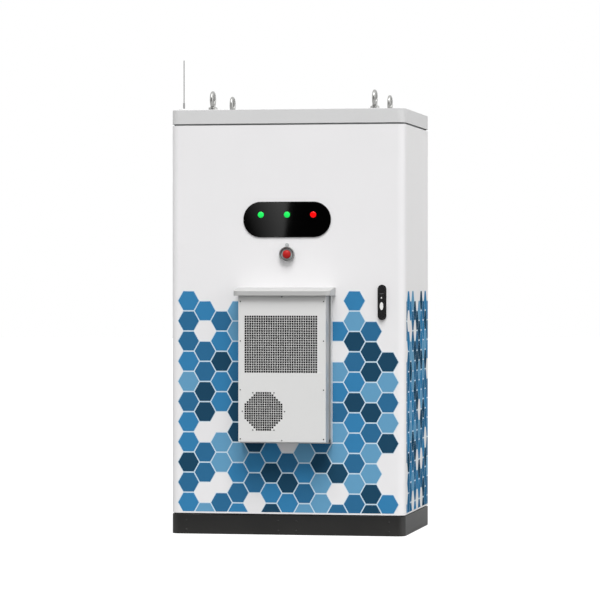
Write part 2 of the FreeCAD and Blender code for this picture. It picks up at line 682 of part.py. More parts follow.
def make_shell():
    """Floor, folded side panels, rear panel and roof deck."""
    floor_line = [(-inner_x, body_front + s.skin), (inner_x, body_front + s.skin),
                  (inner_x, inner_back, inner_round), (-inner_x, inner_back, inner_round)]
    node(slab("XY_Plane", body_low, s.plate_gauge, floor_line,
              centred(s.gland_x, s.gland_y, s.gland_width, s.gland_depth)), "floor_plate")
    lid_top = floor_top + s.plate_gauge
    holes, frames = [], []
    for side in (-1, 1):
        hole = centred(s.gland_x + side * s.entry_pitch / 2, s.gland_y, s.entry_width, s.entry_depth)
        low, high = hole[0], hole[2]
        holes.append(hole)
        flange = block((low[0] - s.entry_flange, low[1] - s.entry_flange, lid_top),
                       (high[0] + s.entry_flange, high[1] + s.entry_flange, lid_top + s.entry_height))
        throat = block((low[0], low[1], floor_top), (high[0], high[1], lid_top + s.entry_height / 2))
        frames.append(fused(flange, throat))
    lid = centred(s.gland_x, s.gland_y, s.gland_width + 2 * s.gland_lap, s.gland_depth + 2 * s.gland_lap)
    node(slab("XY_Plane", floor_top, s.plate_gauge, lid, *holes), "gland_plate")
    node(group(frames), "cable_entry_frames")
    wrap = half_width - s.rear_wrap
    flange = half_width - s.front_flange
    side = [(half_width, body_front), (half_width, back, s.corner_round), (wrap, back),
            (wrap, inner_back), (inner_x, inner_back, inner_round),
            (inner_x, body_front + s.skin), (flange, body_front + s.skin), (flange, body_front)]
    right = slab("XY_Plane", body_low, s.body_height, side)
    node(right, "right_side_panel")
    node(mirrored(right), "left_side_panel")
    rear = slab("XZ_Plane", back, s.skin,
                rectangle((-wrap, body_low), (wrap, body_high)))
    louver = sketch_on(rear, "XZ_Plane", -back)
    outline(louver, centred(0, body_high - s.louver_drop + s.louver_height / 2,
                            s.louver_length, s.louver_height))
    slot = pocket(rear, louver, s.skin, True)
    repeat(rear, slot, louver, "V_Axis", s.louver_pitch, s.louver_rows)
    node(rear, "rear_panel")
    node(slab("XY_Plane", deck_low, s.skin, floor_line), "roof_deck")


def make_frame():
    """Corner posts and the rails between them, all folded channels."""
    post_in = inner_x - s.post_width
    rail_back = body_front + s.skin + s.post_depth
    rear_rail = inner_back - s.post_depth
    height = deck_low - floor_top
    posts = []
    for low, high in (((post_in, body_front + s.skin), (inner_x, rail_back)),
                      ((post_in - inner_round, rear_rail), (inner_x - inner_round, inner_back))):
        post = channel("XY_Plane", floor_top, height, low, high, s.plate_gauge, "left")
        posts += [post, mirrored(post)]
    node(group(posts), "corner_posts")
    flange = half_width - s.front_flange
    header_low = deck_low - s.post_depth * 1.5
    sill_high = floor_top + s.post_depth
    face = body_front + s.skin
    rails = [
        channel("YZ_Plane", -post_in, 2 * post_in, (face, header_low), (rail_back, deck_low),
                s.plate_gauge, "right"),
        channel("YZ_Plane", -post_in, 2 * post_in, (face, floor_top), (rail_back, sill_high),
                s.plate_gauge, "right"),
        channel("YZ_Plane", inner_round - post_in, 2 * (post_in - inner_round), (rear_rail, header_low),
                (inner_back, deck_low), s.plate_gauge, "left"),
        channel("YZ_Plane", inner_round - post_in, 2 * (post_in - inner_round), (rear_rail, floor_top),
                (inner_back, sill_high), s.plate_gauge, "left"),
    ]
    strips = [block((-flange, body_front, header_low), (flange, face, body_high)),
              block((-flange, body_front, body_low), (flange, face, sill_high))]
    node(group(rails + strips), "cross_rails")


def make_roof():
    """Bearers in the dark gap, and the roof cap: a deep lip, a hipped top and seats for the eyes."""
    top = roof_edge - s.skin
    bearer = s.post_depth
    bars = [channel("YZ_Plane", -neck_x, 2 * neck_x, (-neck_y, body_high), (bearer - neck_y, top),
                    s.plate_gauge, "right"),
            channel("YZ_Plane", -neck_x, 2 * neck_x, (neck_y - bearer, body_high), (neck_y, top),
                    s.plate_gauge, "left")]
    side = channel("XZ_Plane", neck_y - bearer, 2 * (neck_y - bearer), (neck_x - bearer, body_high),
                   (neck_x, top), s.plate_gauge, "left")
    lift = channel("XZ_Plane", neck_y - bearer, 2 * (neck_y - bearer), (eye_x - s.seat_half, body_high),
                   (eye_x + s.seat_half, top), s.plate_gauge, "down")
    node(group(bars + [side, mirrored(side), lift, mirrored(lift)]), "roof_bearers")
    cap = roof_form(half_width, back, s.corner_round, roof_edge)
    room = roof_form(inner_x, inner_back, inner_round, roof_edge - s.skin)
    seats = []
    for i, j in ((-1, -1), (1, -1), (-1, 1), (1, 1)):
        x, y = i * eye_x, j * eye_y
        seats.append(block((x - s.seat_half, y - s.seat_half, roof_edge - s.skin),
                           (x + s.seat_half, y + s.seat_half, roof_edge + s.seat_height)))
    cap = fused(cut(cap, room), *seats)
    node(cap, "roof_cap")


def roof_form(x, y, radius, edge):
    """A rounded tray whose top rises from a flat border to a flat ridge, sloping to all four sides."""
    form = slab("XY_Plane", roof_low, edge + s.roof_rise - roof_low,
                rectangle((-x, -y), (x, y), radius))
    top = edge + s.roof_rise
    over = top + CUT_PAST
    slopes = (("YZ_Plane", y, back - s.roof_border, s.ridge_width / 2),
              ("XZ_Plane", x, half_width - s.roof_border, s.ridge_length / 2))
    for role, rim, foot, ridge in slopes:
        for side in (-1, 1):
            out = side * (rim + CUT_PAST)
            cut_through(form, role, [(out, edge), (side * foot, edge), (side * ridge, top),
                                     (side * ridge, over), (out, over)])
    return form


def make_lifting_eyes():
    """Eye bolts: a round collar on the roof's seat under an upright ring."""
    seat = roof_edge + s.seat_height
    ring_z = seat + s.eye_collar_height + s.eye_ring + s.eye_bar / 2
    eyes = []
    for i, j in ((-1, -1), (1, -1), (-1, 1), (1, 1)):
        x = i * eye_x
        y = j * eye_y
        loops = []
        for radius in (s.eye_ring + s.eye_bar, s.eye_ring - s.eye_bar):
            loops.append([(y + radius * math.cos(RING_STEP * (n + 0.5)),
                           ring_z + radius * math.sin(RING_STEP * (n + 0.5)))
                          for n in range(RING_SIDES)])
        ring = slab("YZ_Plane", x - s.eye_bar, 2 * s.eye_bar, *loops)
        eyes.append(fused(rod(s.eye_collar, s.eye_collar_height, (x, y, seat)), ring))
    node(group(eyes), "lifting_eyes")


def make_antenna():
    at = (s.antenna_inset - half_width, front + s.antenna_inset, roof_edge)
    tall = s.antenna_foot_height
    node(rod(s.antenna_base, tall, at), "antenna_foot")
    foot = (at[0], at[1], roof_edge + tall)
    nut = doc.addObject("Part::Prism", "Hexagon")
    nut.Polygon = 6
    bind(nut, "Circumradius", s.whip_radius * 2)
    bind(nut, "Height", s.whip_nut_height)
    node(fused(place(nut, foot), rod(s.whip_radius, s.whip_length, foot)), "antenna_whip")


def shelf_pair(x, level):
    """Two angle rails that carry one module between a rack's uprights."""
    reach = rack_opening / 2
    high = level + s.shelf_height
    pair = []
    for side in (-1, 1):
        outer = x + side * reach
        web = x + side * (reach - s.plate_gauge)
        leg = x + side * (reach - s.foot_width)
        line = [(leg, level - s.plate_gauge), (outer, level - s.plate_gauge),
                (outer, high), (web, high), (web, level), (leg, level)]
        pair.append(slab("XZ_Plane", rack_back, rack_front + rack_back, line))
    return pair


def make_racks():
    """Uprights, rails and the sliding units that they carry."""
    uprights = []
    reach = rack_opening / 2
    height = deck_low - floor_top
    for side in (-1, 1):
        for edge in (-1, 1):
            middle = side * rack_middle
            low_x = middle + reach if edge > 0 else middle - reach - s.upright
            facing = "right" if edge > 0 else "left"
            for low_y in (-rack_front, rack_back - s.upright):
                uprights.append(channel("XY_Plane", floor_top, height, (low_x, low_y),
                                        (low_x + s.upright, low_y + s.upright), s.skin, facing))
    node(group(uprights), "rack_uprights")
    left = -rack_middle
    right = rack_middle
    levels = [first_module + i * module_pitch for i in range(MODULE_COUNT)]
    control_level = first_module + MODULE_COUNT * module_pitch + s.control_gap
    shelves = []
    for level in levels + [control_level]:
        shelves += shelf_pair(left, level)
    shelves += shelf_pair(right, converter_level)
    node(group(shelves), "rack_shelf_rails")
    handles = []
    bow_x = module_width / 2 - s.bow_inset
    for number, level in enumerate(levels, 1):
        node(rack_unit(left, level, s.module_height), "battery_module_%d" % number)
        for side in (-1, 1):
            handles.append(bow_handle(left + side * bow_x, level + s.module_height / 2, s.bow_length))
    node(rack_unit(left, control_level, s.control_height), "battery_control_unit")
    for side in (-1, 1):
        handles.append(bow_handle(left + side * bow_x, control_level + s.control_height / 2, s.control_bow))
    node(group(handles), "module_handles")
    node(rack_unit(right, converter_level, s.converter_height), "power_converter")


def rack_unit(x, level, height):
    """A slide-in unit: a case on the rails, and a wider front panel with a row of air slots."""
    case = slab("XZ_Plane", module_depth - rack_front, module_depth,
                centred(x, level + height / 2, module_width, height))
    panel = sketch_on(case, "XZ_Plane", rack_front)
    outline(panel, centred(x, level + height / 2, 2 * panel_half, height))
    pad(case, panel, s.plate_gauge)
    slots = sketch_on(case, "XZ_Plane", rack_front + s.plate_gauge)
    first = x - s.slot_offset
    outline(slots, rectangle((first, level + s.slot_margin),
                             (first + s.slot_width, level + height - s.slot_margin)))
    slot = pocket(case, slots, s.plate_gauge, False)
    repeat(case, slot, slots, "H_Axis", s.slot_pitch, s.slot_count)
    return case


def bow_handle(x, z, length):
    """A pull handle: a flat bow on the unit's front panel."""
    face = -rack_front - s.plate_gauge
    nose = face - s.bow_reach
    low, high = z - length / 2, z + length / 2
    line = [(face, low), (face, low + s.bow_bar), (nose + s.bow_bar, low + s.bow_bar),
            (nose + s.bow_bar, high - s.bow_bar), (face, high - s.bow_bar), (face, high),
            (nose, high), (nose, low)]
    return slab("YZ_Plane", x - s.bow_bar / 2, s.bow_bar, line)


def make_switchgear():
    """Mounting panel behind the right rack's front, the main breaker with its lever, and a bottle."""
    plane = s.upright - rack_front
    reach = rack_opening / 2 + s.upright
    node(slab("XZ_Plane", plane + s.skin, s.skin,
              centred(rack_middle, breaker_z, 2 * reach, 2 * s.mount_half)), "mounting_panel")
    width = s.breaker_width / 2
    tall = s.breaker_height / 2
    depth = s.breaker_depth
    case = slab("XZ_Plane", plane, depth,
                rectangle((rack_middle - width, breaker_z - tall),
                          (rack_middle + width, breaker_z + tall), s.breaker_round))
    hub = s.breaker_hub
    slot = sketch_on(case, "XZ_Plane", depth - plane)
    outline(slot, centred(rack_middle, breaker_z, s.breaker_slot, s.breaker_slot_height))
    pocket(case, slot, 2 * (hub + s.close_gap), False)
    node(case, "main_breaker")
    axis_y = plane - depth + hub + s.close_gap
    wide = s.breaker_slot - 2 * s.close_gap
    axle = rod(hub, wide, (rack_middle - wide / 2, axis_y, breaker_z), SIDEWAYS)
    toggle = doc.addObject("Part::Box", "Toggle")
    bind(toggle, "Length", s.toggle_width)
    bind(toggle, "Width", s.toggle_length)
    bind(toggle, "Height", s.toggle_thick)
    lean = math.radians(TOGGLE_LEAN)
    half = s.toggle_thick / 2
    place(toggle, (rack_middle - s.toggle_width / 2, axis_y + half * math.sin(lean),
                   breaker_z - half * math.cos(lean)),
          FreeCAD.Rotation(FreeCAD.Vector(1, 0, 0), TOGGLE_LEAN))
    node(fused(axle, toggle), "breaker_lever")
    bottle = rod(s.bottle_radius, s.bottle_height, (rack_middle, 0, floor_top))
    valve = rod(s.valve_radius, s.valve_height, (rack_middle, 0, floor_top + s.bottle_height))
    node(fused(bottle, valve), "fire_suppressant_bottle")


# The door and what it carries

ac_high = s.ac_low + s.ac_height
hood_reach = s.ac_base_depth + s.ac_cover_depth + s.hood_overhang
hood_low = ac_high - s.hood_drop
hood_lip = ac_high + s.hood_room
hood_high = hood_lip + s.hood_slope
hinge_x = s.hinge_inset - half_width
hinge_y = door_back - s.hinge_ahead
low_hinge = body_low + s.hinge_low_gap
high_hinge = body_high - s.hinge_high_gap
hinge_levels = [low_hinge, (low_hinge + high_hinge) / 2, high_hinge]
supply_duct = s.ac_low + s.supply_rise
return_duct = s.ac_low + s.return_rise
ducts = [centred(0, level + s.duct_height / 2, s.duct_width, s.duct_height)
         for level in (return_duct, supply_duct)]
room_fan_z = supply_duct + s.duct_height / 2
lamp_spots = [(i * s.lamp_spread, s.fascia_z + s.lamp_rise) for i in (-1, 0, 1)]
handle_x = half_width - s.handle_inset
shaft_z = s.handle_z + s.shaft_rise
shaft_spot = (handle_x, shaft_z)
lift_z = shaft_z - s.lift_drop
leaf_end = half_width - s.front_flange + s.leaf_lap
notch_end = hinge_x + s.knuckle + s.notch_gap
rod_front = door_back + s.close_gap


def make_door():
    """Outer sheet bent round its upright edges, end plates, stiffening bars, liner sheets and seal."""
    bent = [(-half_width, front, s.corner_round), (half_width, front, s.corner_round),
            (half_width, door_back), (inner_x, door_back), (inner_x, front + s.skin, inner_round),
            (-inner_x, front + s.skin, inner_round), (-inner_x, door_back), (-half_width, door_back)]
    tray = slab("XY_Plane", body_low, s.body_height, bent)
    lid = [(-inner_x, front + s.skin, inner_round), (inner_x, front + s.skin, inner_round),
           (inner_x, door_back), (-inner_x, door_back)]
    ends = [slab("XY_Plane", level, s.skin, lid) for level in (body_low, body_high - s.skin)]
    cut_through(tray, "XZ_Plane", *ducts, ((0, s.stop_z), s.neck_radius),
                (shaft_spot, s.shaft_radius + s.pin_gap))
    notches = sketch_on(tray, "XZ_Plane", -door_back)
    tall = s.knuckle_height + s.notch_gap / 2
    for level in hinge_levels:
        outline(notches, rectangle((-half_width - CUT_PAST, level - tall), (notch_end, level + tall)))
    pocket(tray, notches, s.hinge_ahead + s.knuckle + s.notch_gap, True)
    node(group([tray] + ends), "door_outer_panel")
    low = body_low + s.skin
    high = body_high - s.skin
    bars = []
    for side in (-1, 1):
        faces = sorted((side * leaf_end, side * (leaf_end - s.bar_wide)), key=value_of)
        bars.append(channel("XY_Plane", low, high - low, (faces[0], front + s.skin),
                            (faces[1], door_back - s.skin), s.skin, "right" if side < 0 else "left"))
    inside = leaf_end - s.bar_wide
    for level in (supply_duct - s.bar_below, hood_high + s.bar_above):
        bars.append(channel("YZ_Plane", -inside, 2 * inside, (front + s.skin, level),
                            (door_back - s.skin, level + s.bar_wide), s.skin, "up"))
    node(group(bars), "door_hat_bars")
    liner_low = supply_duct - s.liner_rim
    liner_high = return_duct + s.duct_height + s.liner_rim
    liner = [slab("XZ_Plane", door_back, s.skin, rectangle((notch_end, low), (inner_x, liner_low))),
             slab("XZ_Plane", door_back, s.skin, rectangle((notch_end, liner_low + s.close_gap),
                                                           (inner_x, liner_high)), *ducts),
             slab("XZ_Plane", door_back, s.skin, rectangle((notch_end, liner_high + s.close_gap),
                                                           (inner_x, high)),
                  (shaft_spot, s.shaft_radius + s.pin_gap))]
    node(group(liner), "door_inner_panel")
    seal_x = half_width - s.seal_inset
    seal_low = body_low + s.seal_margin
    seal_high = body_high - s.seal_margin - s.skin * 2
    width = s.seal_width
    node(slab("XZ_Plane", body_front - s.close_gap, s.seal_gap - s.close_gap,
              rectangle((-seal_x, seal_low), (seal_x, seal_high)),
              rectangle((width - seal_x, seal_low + width), (seal_x - width, seal_high - width))),
         "door_seal")


def make_hinges():
    """Three hinges: bracket and lower knuckle on the body, pin, upper knuckle and leaf on the door."""
    brackets, pins, leaves = [], [], []
    bore = s.hinge_pin + s.pin_gap
    tall = s.knuckle_height
    for level in hinge_levels:
        arm = block((hinge_x - s.knuckle, hinge_y - s.knuckle, level - tall),
                    (hinge_x + s.knuckle, body_front, level))
        foot = block((s.hinge_pin - half_width, body_front - s.plate_gauge, level - tall),
                     (notch_end - s.close_gap, body_front, level))
        brackets.append(cut(fused(arm, foot), rod(s.hinge_pin, tall, (hinge_x, hinge_y, level - tall))))
        pins.append(rod(s.hinge_pin, 2 * tall + s.hinge_pin, (hinge_x, hinge_y, level - tall)))
        start = level + s.close_gap
        end = level + tall
        sleeve = block((hinge_x - s.knuckle, hinge_y - s.knuckle, start),
                       (hinge_x + s.knuckle, hinge_y + s.knuckle, end))
        leaf = block((hinge_x, hinge_y - s.leaf_thick / 2, start),
                     (-leaf_end, hinge_y + s.leaf_thick / 2, end))
        leaves.append(cut(fused(sleeve, leaf), rod(bore, end - start, (hinge_x, hinge_y, start))))
    node(group(brackets), "hinge_brackets")
    node(group(pins), "hinge_pins")
    node(group(leaves), "hinge_leaves")


def make_lamps():
    """Glossy pill-shaped panel with three round lamps."""
    radius = s.fascia_height / 2
    reach = s.fascia_length / 2 - radius
    face = front - s.fascia_thick
    node(slab("XZ_Plane", front, s.fascia_thick,
              ((-reach, s.fascia_z), (reach, s.fascia_z), radius)), "lamp_panel")
    lamps = [rod(s.lamp_radius, s.lamp_reach, (x, face, z), FORWARD) for x, z in lamp_spots]
    node(group(lamps[:2]), "green_lamps")
    node(lamps[2], "red_lamp")


def make_stop_button():
    """Mushroom button in a guard ring: the head and its stem slide in the switch's neck."""
    at = (0, front, s.stop_z)
    inside = s.guard_radius - s.guard_wall
    reach = s.guard_reach
    guard = turned([(inside, 0), (s.guard_radius, 0), (s.guard_radius, reach), (inside, reach)],
                   at, FORWARD)
    top = s.stop_z + s.guard_radius
    lug = block((-s.lug_width / 2, front - s.lug_thick, top - s.guard_wall / 3),
                (s.lug_width / 2, front, top + s.lug_height))
    node(fused(guard, lug), "stop_button_guard")
    collar = s.collar_height
    seat = s.stem_radius + s.pin_gap
    flange = inside - s.collar_play
    switch = turned([(seat, -s.neck_depth), (s.neck_radius, -s.neck_depth), (s.neck_radius, 0),
                     (flange, 0), (flange, collar), (seat, collar)], at, FORWARD)
    behind = front + s.neck_depth
    contacts = block((-s.contact_half, behind, s.stop_z - s.contact_half),
                     (s.contact_half, behind + s.contact_depth, s.stop_z + s.contact_half))
    node(fused(switch, contacts), "stop_switch")
    free = s.stop_travel + 1
    low = collar + free
    rim = low + s.stop_rim
    head = s.stop_radius
    node(turned([(0, free - s.neck_depth), (s.stem_radius, free - s.neck_depth), (s.stem_radius, low),
                 (head, low), (head, rim), (s.crown_radius, rim), (s.crown_radius, rim + s.stop_crown),
                 (0, rim + s.stop_crown)], at, FORWARD), "stop_button")


def make_handle():
    """Plate, turning hub with shaft and ears, lever with its tongue and pin, and the key cover."""
    x, z = handle_x, s.handle_z
    radius = s.handle_width / 2
    reach = s.handle_length / 2 - radius
    face = front - s.handle_plate
    node(slab("XZ_Plane", front, s.handle_plate, ((x, z - reach), (x, z + reach), radius),
              (shaft_spot, s.shaft_radius + s.pin_gap)), "handle_plate")
    near = face - s.close_gap
    half = s.lever_width / 2
    tongue = s.tongue_width / 2
    pivot_y = near - s.tongue_radius - s.close_gap
    ear = s.tongue_radius + s.close_gap
    hub_low = lift_z + ear + s.close_gap
    hub_high = shaft_z + s.hub_rise
    cheek = hub_high - s.hub_chamfer
    hub = slab("XZ_Plane", near, s.lever_thick,
               [(x - half, hub_low), (x + half, hub_low), (x + half, cheek),
                (x + half - s.hub_chamfer, hub_high), (x - half + s.hub_chamfer, hub_high),
                (x - half, cheek)])
    shaft_end = door_back + s.gear_thick + s.close_gap
    shaft = rod(s.shaft_radius, shaft_end - near, (x, shaft_end, shaft_z), FORWARD)
    ears = []
    wide = half - tongue - s.close_gap
    for low_x in (x - half, x + half - wide):
        web = block((low_x, near - s.lever_thick, lift_z), (low_x + wide, near, hub_low + 1))
        round_end = rod(ear, wide, (low_x, pivot_y, lift_z), SIDEWAYS)
        bore = rod(s.lift_pin + s.pin_gap, wide, (low_x, pivot_y, lift_z), SIDEWAYS)
        ears.append(cut(fused(web, round_end), bore))
    node(fused(hub, shaft, *ears), "handle_hub")
    shoulder = lift_z - ear - s.tongue_free
    lever_low = z - s.lever_drop
    grip = slab("XZ_Plane", near, s.lever_thick,
                [(x - half, lever_low, half - 1), (x + half, lever_low, half - 1),
                 (x + half, shoulder), (x - half, shoulder)])
    neck = block((x - tongue, pivot_y - s.tongue_radius, shoulder - 1),
                 (x + tongue, pivot_y + s.tongue_radius, lift_z))
    nose = rod(s.tongue_radius, s.tongue_width, (x - tongue, pivot_y, lift_z), SIDEWAYS)
    pin = rod(s.lift_pin, s.lever_width, (x - half, pivot_y, lift_z), SIDEWAYS)
    node(fused(grip, neck, nose, pin), "swing_lever")
    rise = near - s.lever_thick - s.close_gap
    cover_z = z - s.cover_drop
    pivot_z = cover_z + s.strap_length
    cover = slab("XZ_Plane", rise, s.cover_thick,
                 ((x, cover_z - s.cover_half), (x, cover_z + s.cover_half), s.cover_radius))
    strap = block((x - s.strap_half, rise - s.strap_thick, cover_z),
                  (x + s.strap_half, rise, pivot_z + s.strap_half))
    rivet = rod(s.rivet_radius, s.rivet_height, (x, rise, pivot_z), FORWARD)
    node(fused(cover, strap, rivet), "key_cover")


# The lock: a pinion on the handle's shaft drives a toothed rod up and another down

def gear_wire(level):
    """The pinion's outline with involute flanks, gaps centred on the level line."""
    module = value_of(s.gear_module)
    teeth = int(value_of(s.gear_teeth))
    pitch = module * teeth / 2
    base = pitch * math.cos(PRESSURE)
    tip = pitch + ADDENDUM * module
    root = pitch - DEDENDUM * module
    rolled = math.tan(PRESSURE) - PRESSURE
    half_tooth = math.pi / teeth / 2 - value_of(s.gear_backlash) / 2 / pitch
    flank = []
    for i in range(FLANK_STEPS + 1):
        radius = base + (tip - base) * i / FLANK_STEPS
        angle = math.acos(base / radius)
        flank.append((radius, half_tooth + rolled - (math.tan(angle) - angle)))
    flank.insert(0, (root, flank[0][1]))
    points = []
    for tooth in range(teeth):
        middle = 2 * math.pi * (tooth + 0.5) / teeth
        sides = [(r, middle - a) for r, a in flank] + [(r, middle + a) for r, a in reversed(flank)]
        points += [FreeCAD.Vector(r * math.cos(a), level, r * math.sin(a)) for r, a in sides]
    return Part.makePolygon(points + points[:1])


def rack_points(side):
    """A toothed edge going up, teeth to the pinion; side is 1 right of it and -1 left."""
    module = value_of(s.gear_module)
    pitch = math.pi * module
    line = side * module * value_of(s.gear_teeth) / 2
    top = line - side * ADDENDUM * module
    root = line + side * DEDENDUM * module
    slope = math.tan(PRESSURE)
    wide = pitch / 4 - value_of(s.gear_backlash) / 2
    tip_half = wide - ADDENDUM * module * slope
    root_half = wide + DEDENDUM * module * slope
    count = int(value_of(s.rack_teeth))
    points = []
    for tooth in range(count):
        middle = side * (tooth - 2) * pitch
        for x, z in ((root, -root_half), (top, -tip_half), (top, tip_half), (root, root_half)):
            points.append((x, middle + side * z))
    return points, root


def make_lock():
    """Pinion, two rods with racks, and the guides that hold the rods to the door."""
    x, z = value_of(handle_x), value_of(shaft_z)
    thick = value_of(s.gear_thick)
    near = value_of(rod_front)
    centre = FreeCAD.Vector(x, near, z)
    pinion = doc.addObject("Part::Feature", "Pinion")
    disc = Part.Face(gear_wire(0)).extrude(FreeCAD.Vector(0, thick, 0))
    bore = Part.makeCylinder(value_of(s.shaft_radius), thick, FreeCAD.Vector(),
                             FreeCAD.Vector(0, 1, 0))
    pinion.Shape = disc.cut(bore)
    pinion.Placement = FreeCAD.Placement(centre, FreeCAD.Rotation())
    node(pinion, "lock_pinion")
    high_end = value_of(body_high - s.rod_high_gap) - z
    low_end = value_of(body_low + s.rod_low_gap) - z
    for side, end, name in ((1, high_end, "lock_rod_upper"), (-1, low_end, "lock_rod_lower")):
        teeth, root = rack_points(side)
        outer = root + side * value_of(s.rod_width)
        tail = -side * value_of(s.rod_tail)
        corners = [(outer, tail), (root, tail)] + teeth + [(root, end), (outer, end)]
        loop = [FreeCAD.Vector(px, 0, pz) for px, pz in corners]
        bar = doc.addObject("Part::Feature", name)
        bar.Shape = Part.Face(Part.makePolygon(loop + loop[:1])).extrude(FreeCAD.Vector(0, thick, 0))
        bar.Placement = FreeCAD.Placement(centre, FreeCAD.Rotation())
        node(bar, name)
    gap = s.close_gap
    root = s.gear_module * s.gear_teeth / 2 + DEDENDUM * s.gear_module
    depth = s.gear_thick + 2 * gap
    guides = []
    upper = [shaft_z + s.upper_guide_start, body_high - s.rod_high_gap - s.upper_guide_end]
    upper.insert(1, (upper[0] + upper[1]) / 2)
    lower = [body_low + s.rod_low_gap + s.lower_guide_end, shaft_z - s.lower_guide_start]
    lower.insert(1, (lower[0] + lower[1]) / 2 + s.guide_shift)
    for side, levels in ((1, upper), (-1, lower)):
        inner = handle_x + side * root
        ends = sorted((inner - side * gap, inner + side * (s.rod_width + gap)), key=value_of)
        for level in levels:
            guides.append(bridge(ends[0], ends[1], depth, level, s.guide_height))
    reach = root + s.rod_width + gap
    guides.append(bridge(handle_x - reach, handle_x + reach, depth,
                         shaft_z - s.gearcase_height / 2, s.gearcase_height))
    node(group(guides), "lock_rod_guides")


def bridge(low_x, high_x, depth, level, tall):
    """A folded strap over the rods, its two feet on the inner panel."""
    y = door_back
    wall = s.skin
    line = [(low_x - wall, y), (low_x, y), (low_x, y + depth), (high_x, y + depth), (high_x, y),
            (high_x + wall, y), (high_x + wall, y + depth + wall), (low_x - wall, y + depth + wall)]
    return slab("XY_Plane", level, tall, line)


# The air conditioner on the door

ac_x = s.ac_width / 2
ac_split = front - s.ac_base_depth
ac_face = ac_split - s.ac_cover_depth
intake_left = s.intake_inset - ac_x
intake_low = s.ac_low + s.intake_rise
fan_x = s.fan_inset - ac_x
fan_z = s.ac_low + s.fan_rise
intake_width = s.intake_pitch * (s.intake_columns - 1) + s.intake_hole
intake_height = s.intake_pitch * (s.intake_rows - 1) + s.intake_hole


def hole_count(place_in_row):
    """Holes in one row or column of the fan grille: fewer towards its slanted corners."""
    from_edge = min(place_in_row, FAN_SIDE - 1 - place_in_row)
    return min(FAN_SIDE, FAN_FLAT + 2 * from_edge)


def fan_slots(upright, low_y, high_y):
    """Blocks that cut the fan grille's slots, one for each column or row of holes."""
    blocks = []
    middle = (FAN_SIDE - 1) / 2
    step = 1 if upright else BAR_STEP
    across = s.fan_hole / 2 + (step - 1) / 2 * s.fan_pitch
    for i in range(step // 2, FAN_SIDE, step):
        offset = (i - middle) * s.fan_pitch
        reach = (hole_count(i) - 1) / 2 * s.fan_pitch + s.fan_hole / 2
        if upright:
            low = (fan_x + offset - across, low_y, fan_z - reach)
            high = (fan_x + offset + across, high_y, fan_z + reach)
        else:
            low = (fan_x - reach, low_y, fan_z + offset - across)
            high = (fan_x + reach, high_y, fan_z + offset + across)
        blocks.append(block(low, high))
    return group(blocks)


def slot_rows(body, level, first, axis, pitch, count, depth):
    """Cuts one slot and repeats it into a row of slots."""
    sketch = sketch_on(body, "XZ_Plane", -level)
    outline(sketch, first)
    repeat(body, pocket(body, sketch, depth, False), sketch, axis, pitch, count)


def make_ac_housing():
    """Base behind, cover with slots for its two grilles, cross bars behind the slots, and hood."""
    base_x = ac_x - s.ac_recess
    low = s.ac_low + s.ac_recess
    high = ac_high - s.ac_recess
    base = slab("XZ_Plane", front, s.ac_base_depth, rectangle((-base_x, low), (base_x, high)))
    hollow = sketch_on(base, "XZ_Plane", -front)
    outline(hollow, rectangle((s.skin - base_x, low + s.skin), (base_x - s.skin, high - s.skin)))
    pocket(base, hollow, s.ac_base_depth - s.skin, True)
    cover_x = ac_x - s.skin
    rim = sketch_on(base, "XZ_Plane", -ac_split)
    outline(rim, rectangle((-cover_x, s.ac_low + s.skin), (cover_x, ac_high - s.skin)))
    pad(base, rim, s.skin)
    node(base, "ac_base")
    cover = slab("XZ_Plane", ac_split, s.ac_cover_depth,
                 rectangle((-ac_x, s.ac_low), (ac_x, ac_high), s.ac_round))
    inside = sketch_on(cover, "XZ_Plane", -ac_split)
    outline(inside, rectangle((-cover_x, s.ac_low + s.skin), (cover_x, ac_high - s.skin)))
    pocket(cover, inside, s.ac_cover_depth - s.skin, True)
    column = rectangle((intake_left, intake_low),
                       (intake_left + s.intake_hole, intake_low + intake_height))
    slot_rows(cover, ac_face, column, "H_Axis", s.intake_pitch, s.intake_columns, s.skin)
    node(cut(cover, fan_slots(True, ac_face - 1, ac_face + s.skin)), "ac_cover")
    behind = ac_face + s.skin
    edge = s.bar_edge
    bars = slab("XZ_Plane", behind + s.skin, s.skin,
                rectangle((intake_left - edge, intake_low - edge),
                          (intake_left + intake_width + edge, intake_low + intake_height + edge)))
    tall = s.intake_pitch * (BAR_STEP - 1) + s.intake_hole
    row = rectangle((intake_left, intake_low), (intake_left + intake_width, intake_low + tall))
    slot_rows(bars, behind, row, "V_Axis", s.intake_pitch * BAR_STEP, s.intake_rows / BAR_STEP, s.skin)
    reach = (FAN_SIDE - 1) / 2 * s.fan_pitch + s.fan_hole / 2 + edge
    disc = slab("XZ_Plane", behind + s.skin, s.skin,
                rectangle((fan_x - reach, fan_z - reach), (fan_x + reach, fan_z + reach)))
    grille = cut(disc, fan_slots(False, behind - 1, behind + s.skin + 1))
    node(group([bars, grille]), "ac_grille_bars")


def make_ac_hood():
    """Rain hood: rounded front corners, sloping top, hollow underneath and open towards the door."""
    x = ac_x + s.hood_overhang
    nose = front - hood_reach
    hood = slab("XY_Plane", hood_low, hood_high - hood_low,
                [(-x, nose, s.hood_round), (x, nose, s.hood_round), (x, front), (-x, front)])
    slope_start = front - s.hood_flat
    top = sketch_on(hood, "YZ_Plane")
    outline(top, [(nose - 1, hood_lip), (slope_start, hood_high), (slope_start, hood_high + CUT_PAST),
                  (nose - 1, hood_high + CUT_PAST)])
    pocket(hood, top)
    hollow = sketch_on(hood, "XY_Plane", hood_low)
    round_in = s.hood_round - s.skin
    outline(hollow, [(s.skin - x, nose + s.skin, round_in), (x - s.skin, nose + s.skin, round_in),
                     (x - s.skin, front), (s.skin - x, front)])
    pocket(hood, hollow, hood_lip - hood_low - s.skin, True)
    return hood


